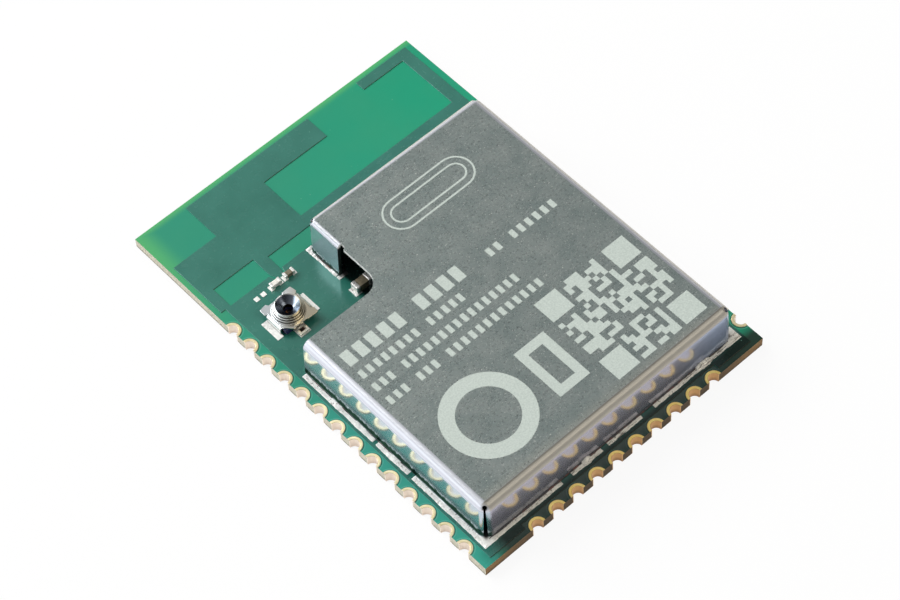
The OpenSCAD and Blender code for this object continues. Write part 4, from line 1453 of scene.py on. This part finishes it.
def make_world():
    """A plain room, paler behind and to the left than in front."""
    world = bpy.data.worlds.new("studio")
    bpy.context.scene.world = world
    world.use_nodes = True
    tree = world.node_tree
    direction = add_node(tree, "TexCoord", {}, "Generated")
    bright = Vector(ROOM_BRIGHT_SIDE).normalized()
    side = add_node(tree, "VectorMath", {0: direction, 1: bright}, "Value", operation="DOT_PRODUCT")
    inputs = {
        "Value": side, "From Min": ROOM_DARK_END, "To Min": ROOM_LEVELS[0], "To Max": ROOM_LEVELS[1],
    }
    level = add_node(tree, "MapRange", inputs, "Result", interpolation_type="SMOOTHSTEP")
    background = tree.nodes["Background"]
    fill(tree, background.inputs["Color"], ROOM_TINT)
    fill(tree, background.inputs["Strength"], level)


def make_floor():
    """A white table top. Seen directly or in metal it is partly lit from within,
    so that it stays white and still keeps the object's shadow."""
    own_light, own_light_mirrored = 0.9, 0.42
    shape = Shape()
    shape.box((-FLOOR_HALF, -FLOOR_HALF, FLOOR_LOW), (FLOOR_HALF, FLOOR_HALF, FLOOR_TOP))
    obj = as_object("floor", shape)
    obj.data.transform(Matrix.Scale(MM, 4))
    p = Paint("floor_white")
    p.set("Base Color", p.mix(p.noise(0.02, 2), *FLOOR_TONES))
    p.set("Roughness", 0.7)
    p.set("Specular IOR Level", 0.1)
    seen, through, in_metal = (
        p.node("LightPath", {}, "Is %s Ray" % kind) for kind in ("Camera", "Transmission", "Glossy")
    )
    seen = p.times(p.most(seen, through), own_light)
    mirrored = p.times(in_metal, own_light_mirrored)
    white = p.node("Emission", {"Strength": 1})
    first, second = 1, 2
    blend = p.node("MixShader", {
        "Fac": p.most(seen, mirrored), first: p.shader.outputs["BSDF"], second: white,
    })
    fill(p.tree, p.tree.nodes["Material Output"].inputs["Surface"], blend)
    obj.data.materials.append(p.material)


def make_light():
    make_world()
    for lamp in LAMPS:
        make_lamp(*lamp)


# ------------------------------------------------------------------------ make

def softened_nodes(solder, caps):
    """Connector parts, lands and chips that only get rounded edges: names, material,
    slot, width of the rounding and its segments."""
    brown = ceramic_material("ceramic_brown", (136, 126, 104), (102, 94, 76), 0.4)
    white = ceramic_material("ceramic_white", (250, 246, 238), (226, 222, 214), 0.35)
    dark = ceramic_material("ceramic_dark", (66, 64, 62), (38, 38, 38), 0.45)
    black = moulded_material("mould_black", (44, 44, 46), (28, 28, 30))
    green = moulded_material("package_green", (42, 96, 62), (26, 70, 46))
    return [
        (["coax_base"], coax_plastic_material(), "coax_plastic", 0.02, 2),
        (["coax_clip"], clip_material(), "clip_metal", 0.02, 2),
        (["coax_lands", "feed_pads", "notch_pads"], solder, "solder", 0.012, 2),
        (["feed_capacitor_caps", "feed_inductor_caps"], caps, "end_cap", 0.03, 3),
        (["notch_capacitor_caps"], caps, "end_cap", 0.05, 3),
        (["decoupling_caps"], caps, "end_cap", 0.04, 2),
        (["resistor_caps"], caps, "end_cap", 0.02, 2),
        (["inductor_caps"], caps, "end_cap", 0.06, 2),
        (["feed_capacitor", "notch_capacitor", "decoupling_bodies"], brown, "ceramic_brown", 0.015, 2),
        (["feed_inductor", "crystal_base"], white, "ceramic_white", 0.015, 2),
        (["inductor_cores", "resistor_bodies"], dark, "ceramic_dark", 0.02, 2),
        (["processor_lid", "flash_memory", "band_filter"], black, "mould_black", 0.03, 2),
        (["radio_processor"], green, "package_green", 0.02, 2),
        (["crystal_lid", "clock_crystal"], lid_material(), "lid_metal", 0.04, 3),
    ]


def make_all():
    solder = solder_material()
    gold = gold_material()
    dress_board()
    make_terminals(gold)
    softened_node("top_copper", copper_material(), "masked_copper", 0.03, 3)
    softened_node("ground_pads", gold, "gold_plating", 0.01, 2)
    make_can()
    make_seams(solder)
    make_marks()
    make_coax_shell(coax_metal_material())
    make_coax_pin(contact_material())
    for nodes, *looks in softened_nodes(solder, cap_material()):
        for node in nodes:
            softened_node(node, *looks)


make_camera()
make_light()
make_floor()
make_all()

bpy.context.scene.view_settings.view_transform = "Standard"
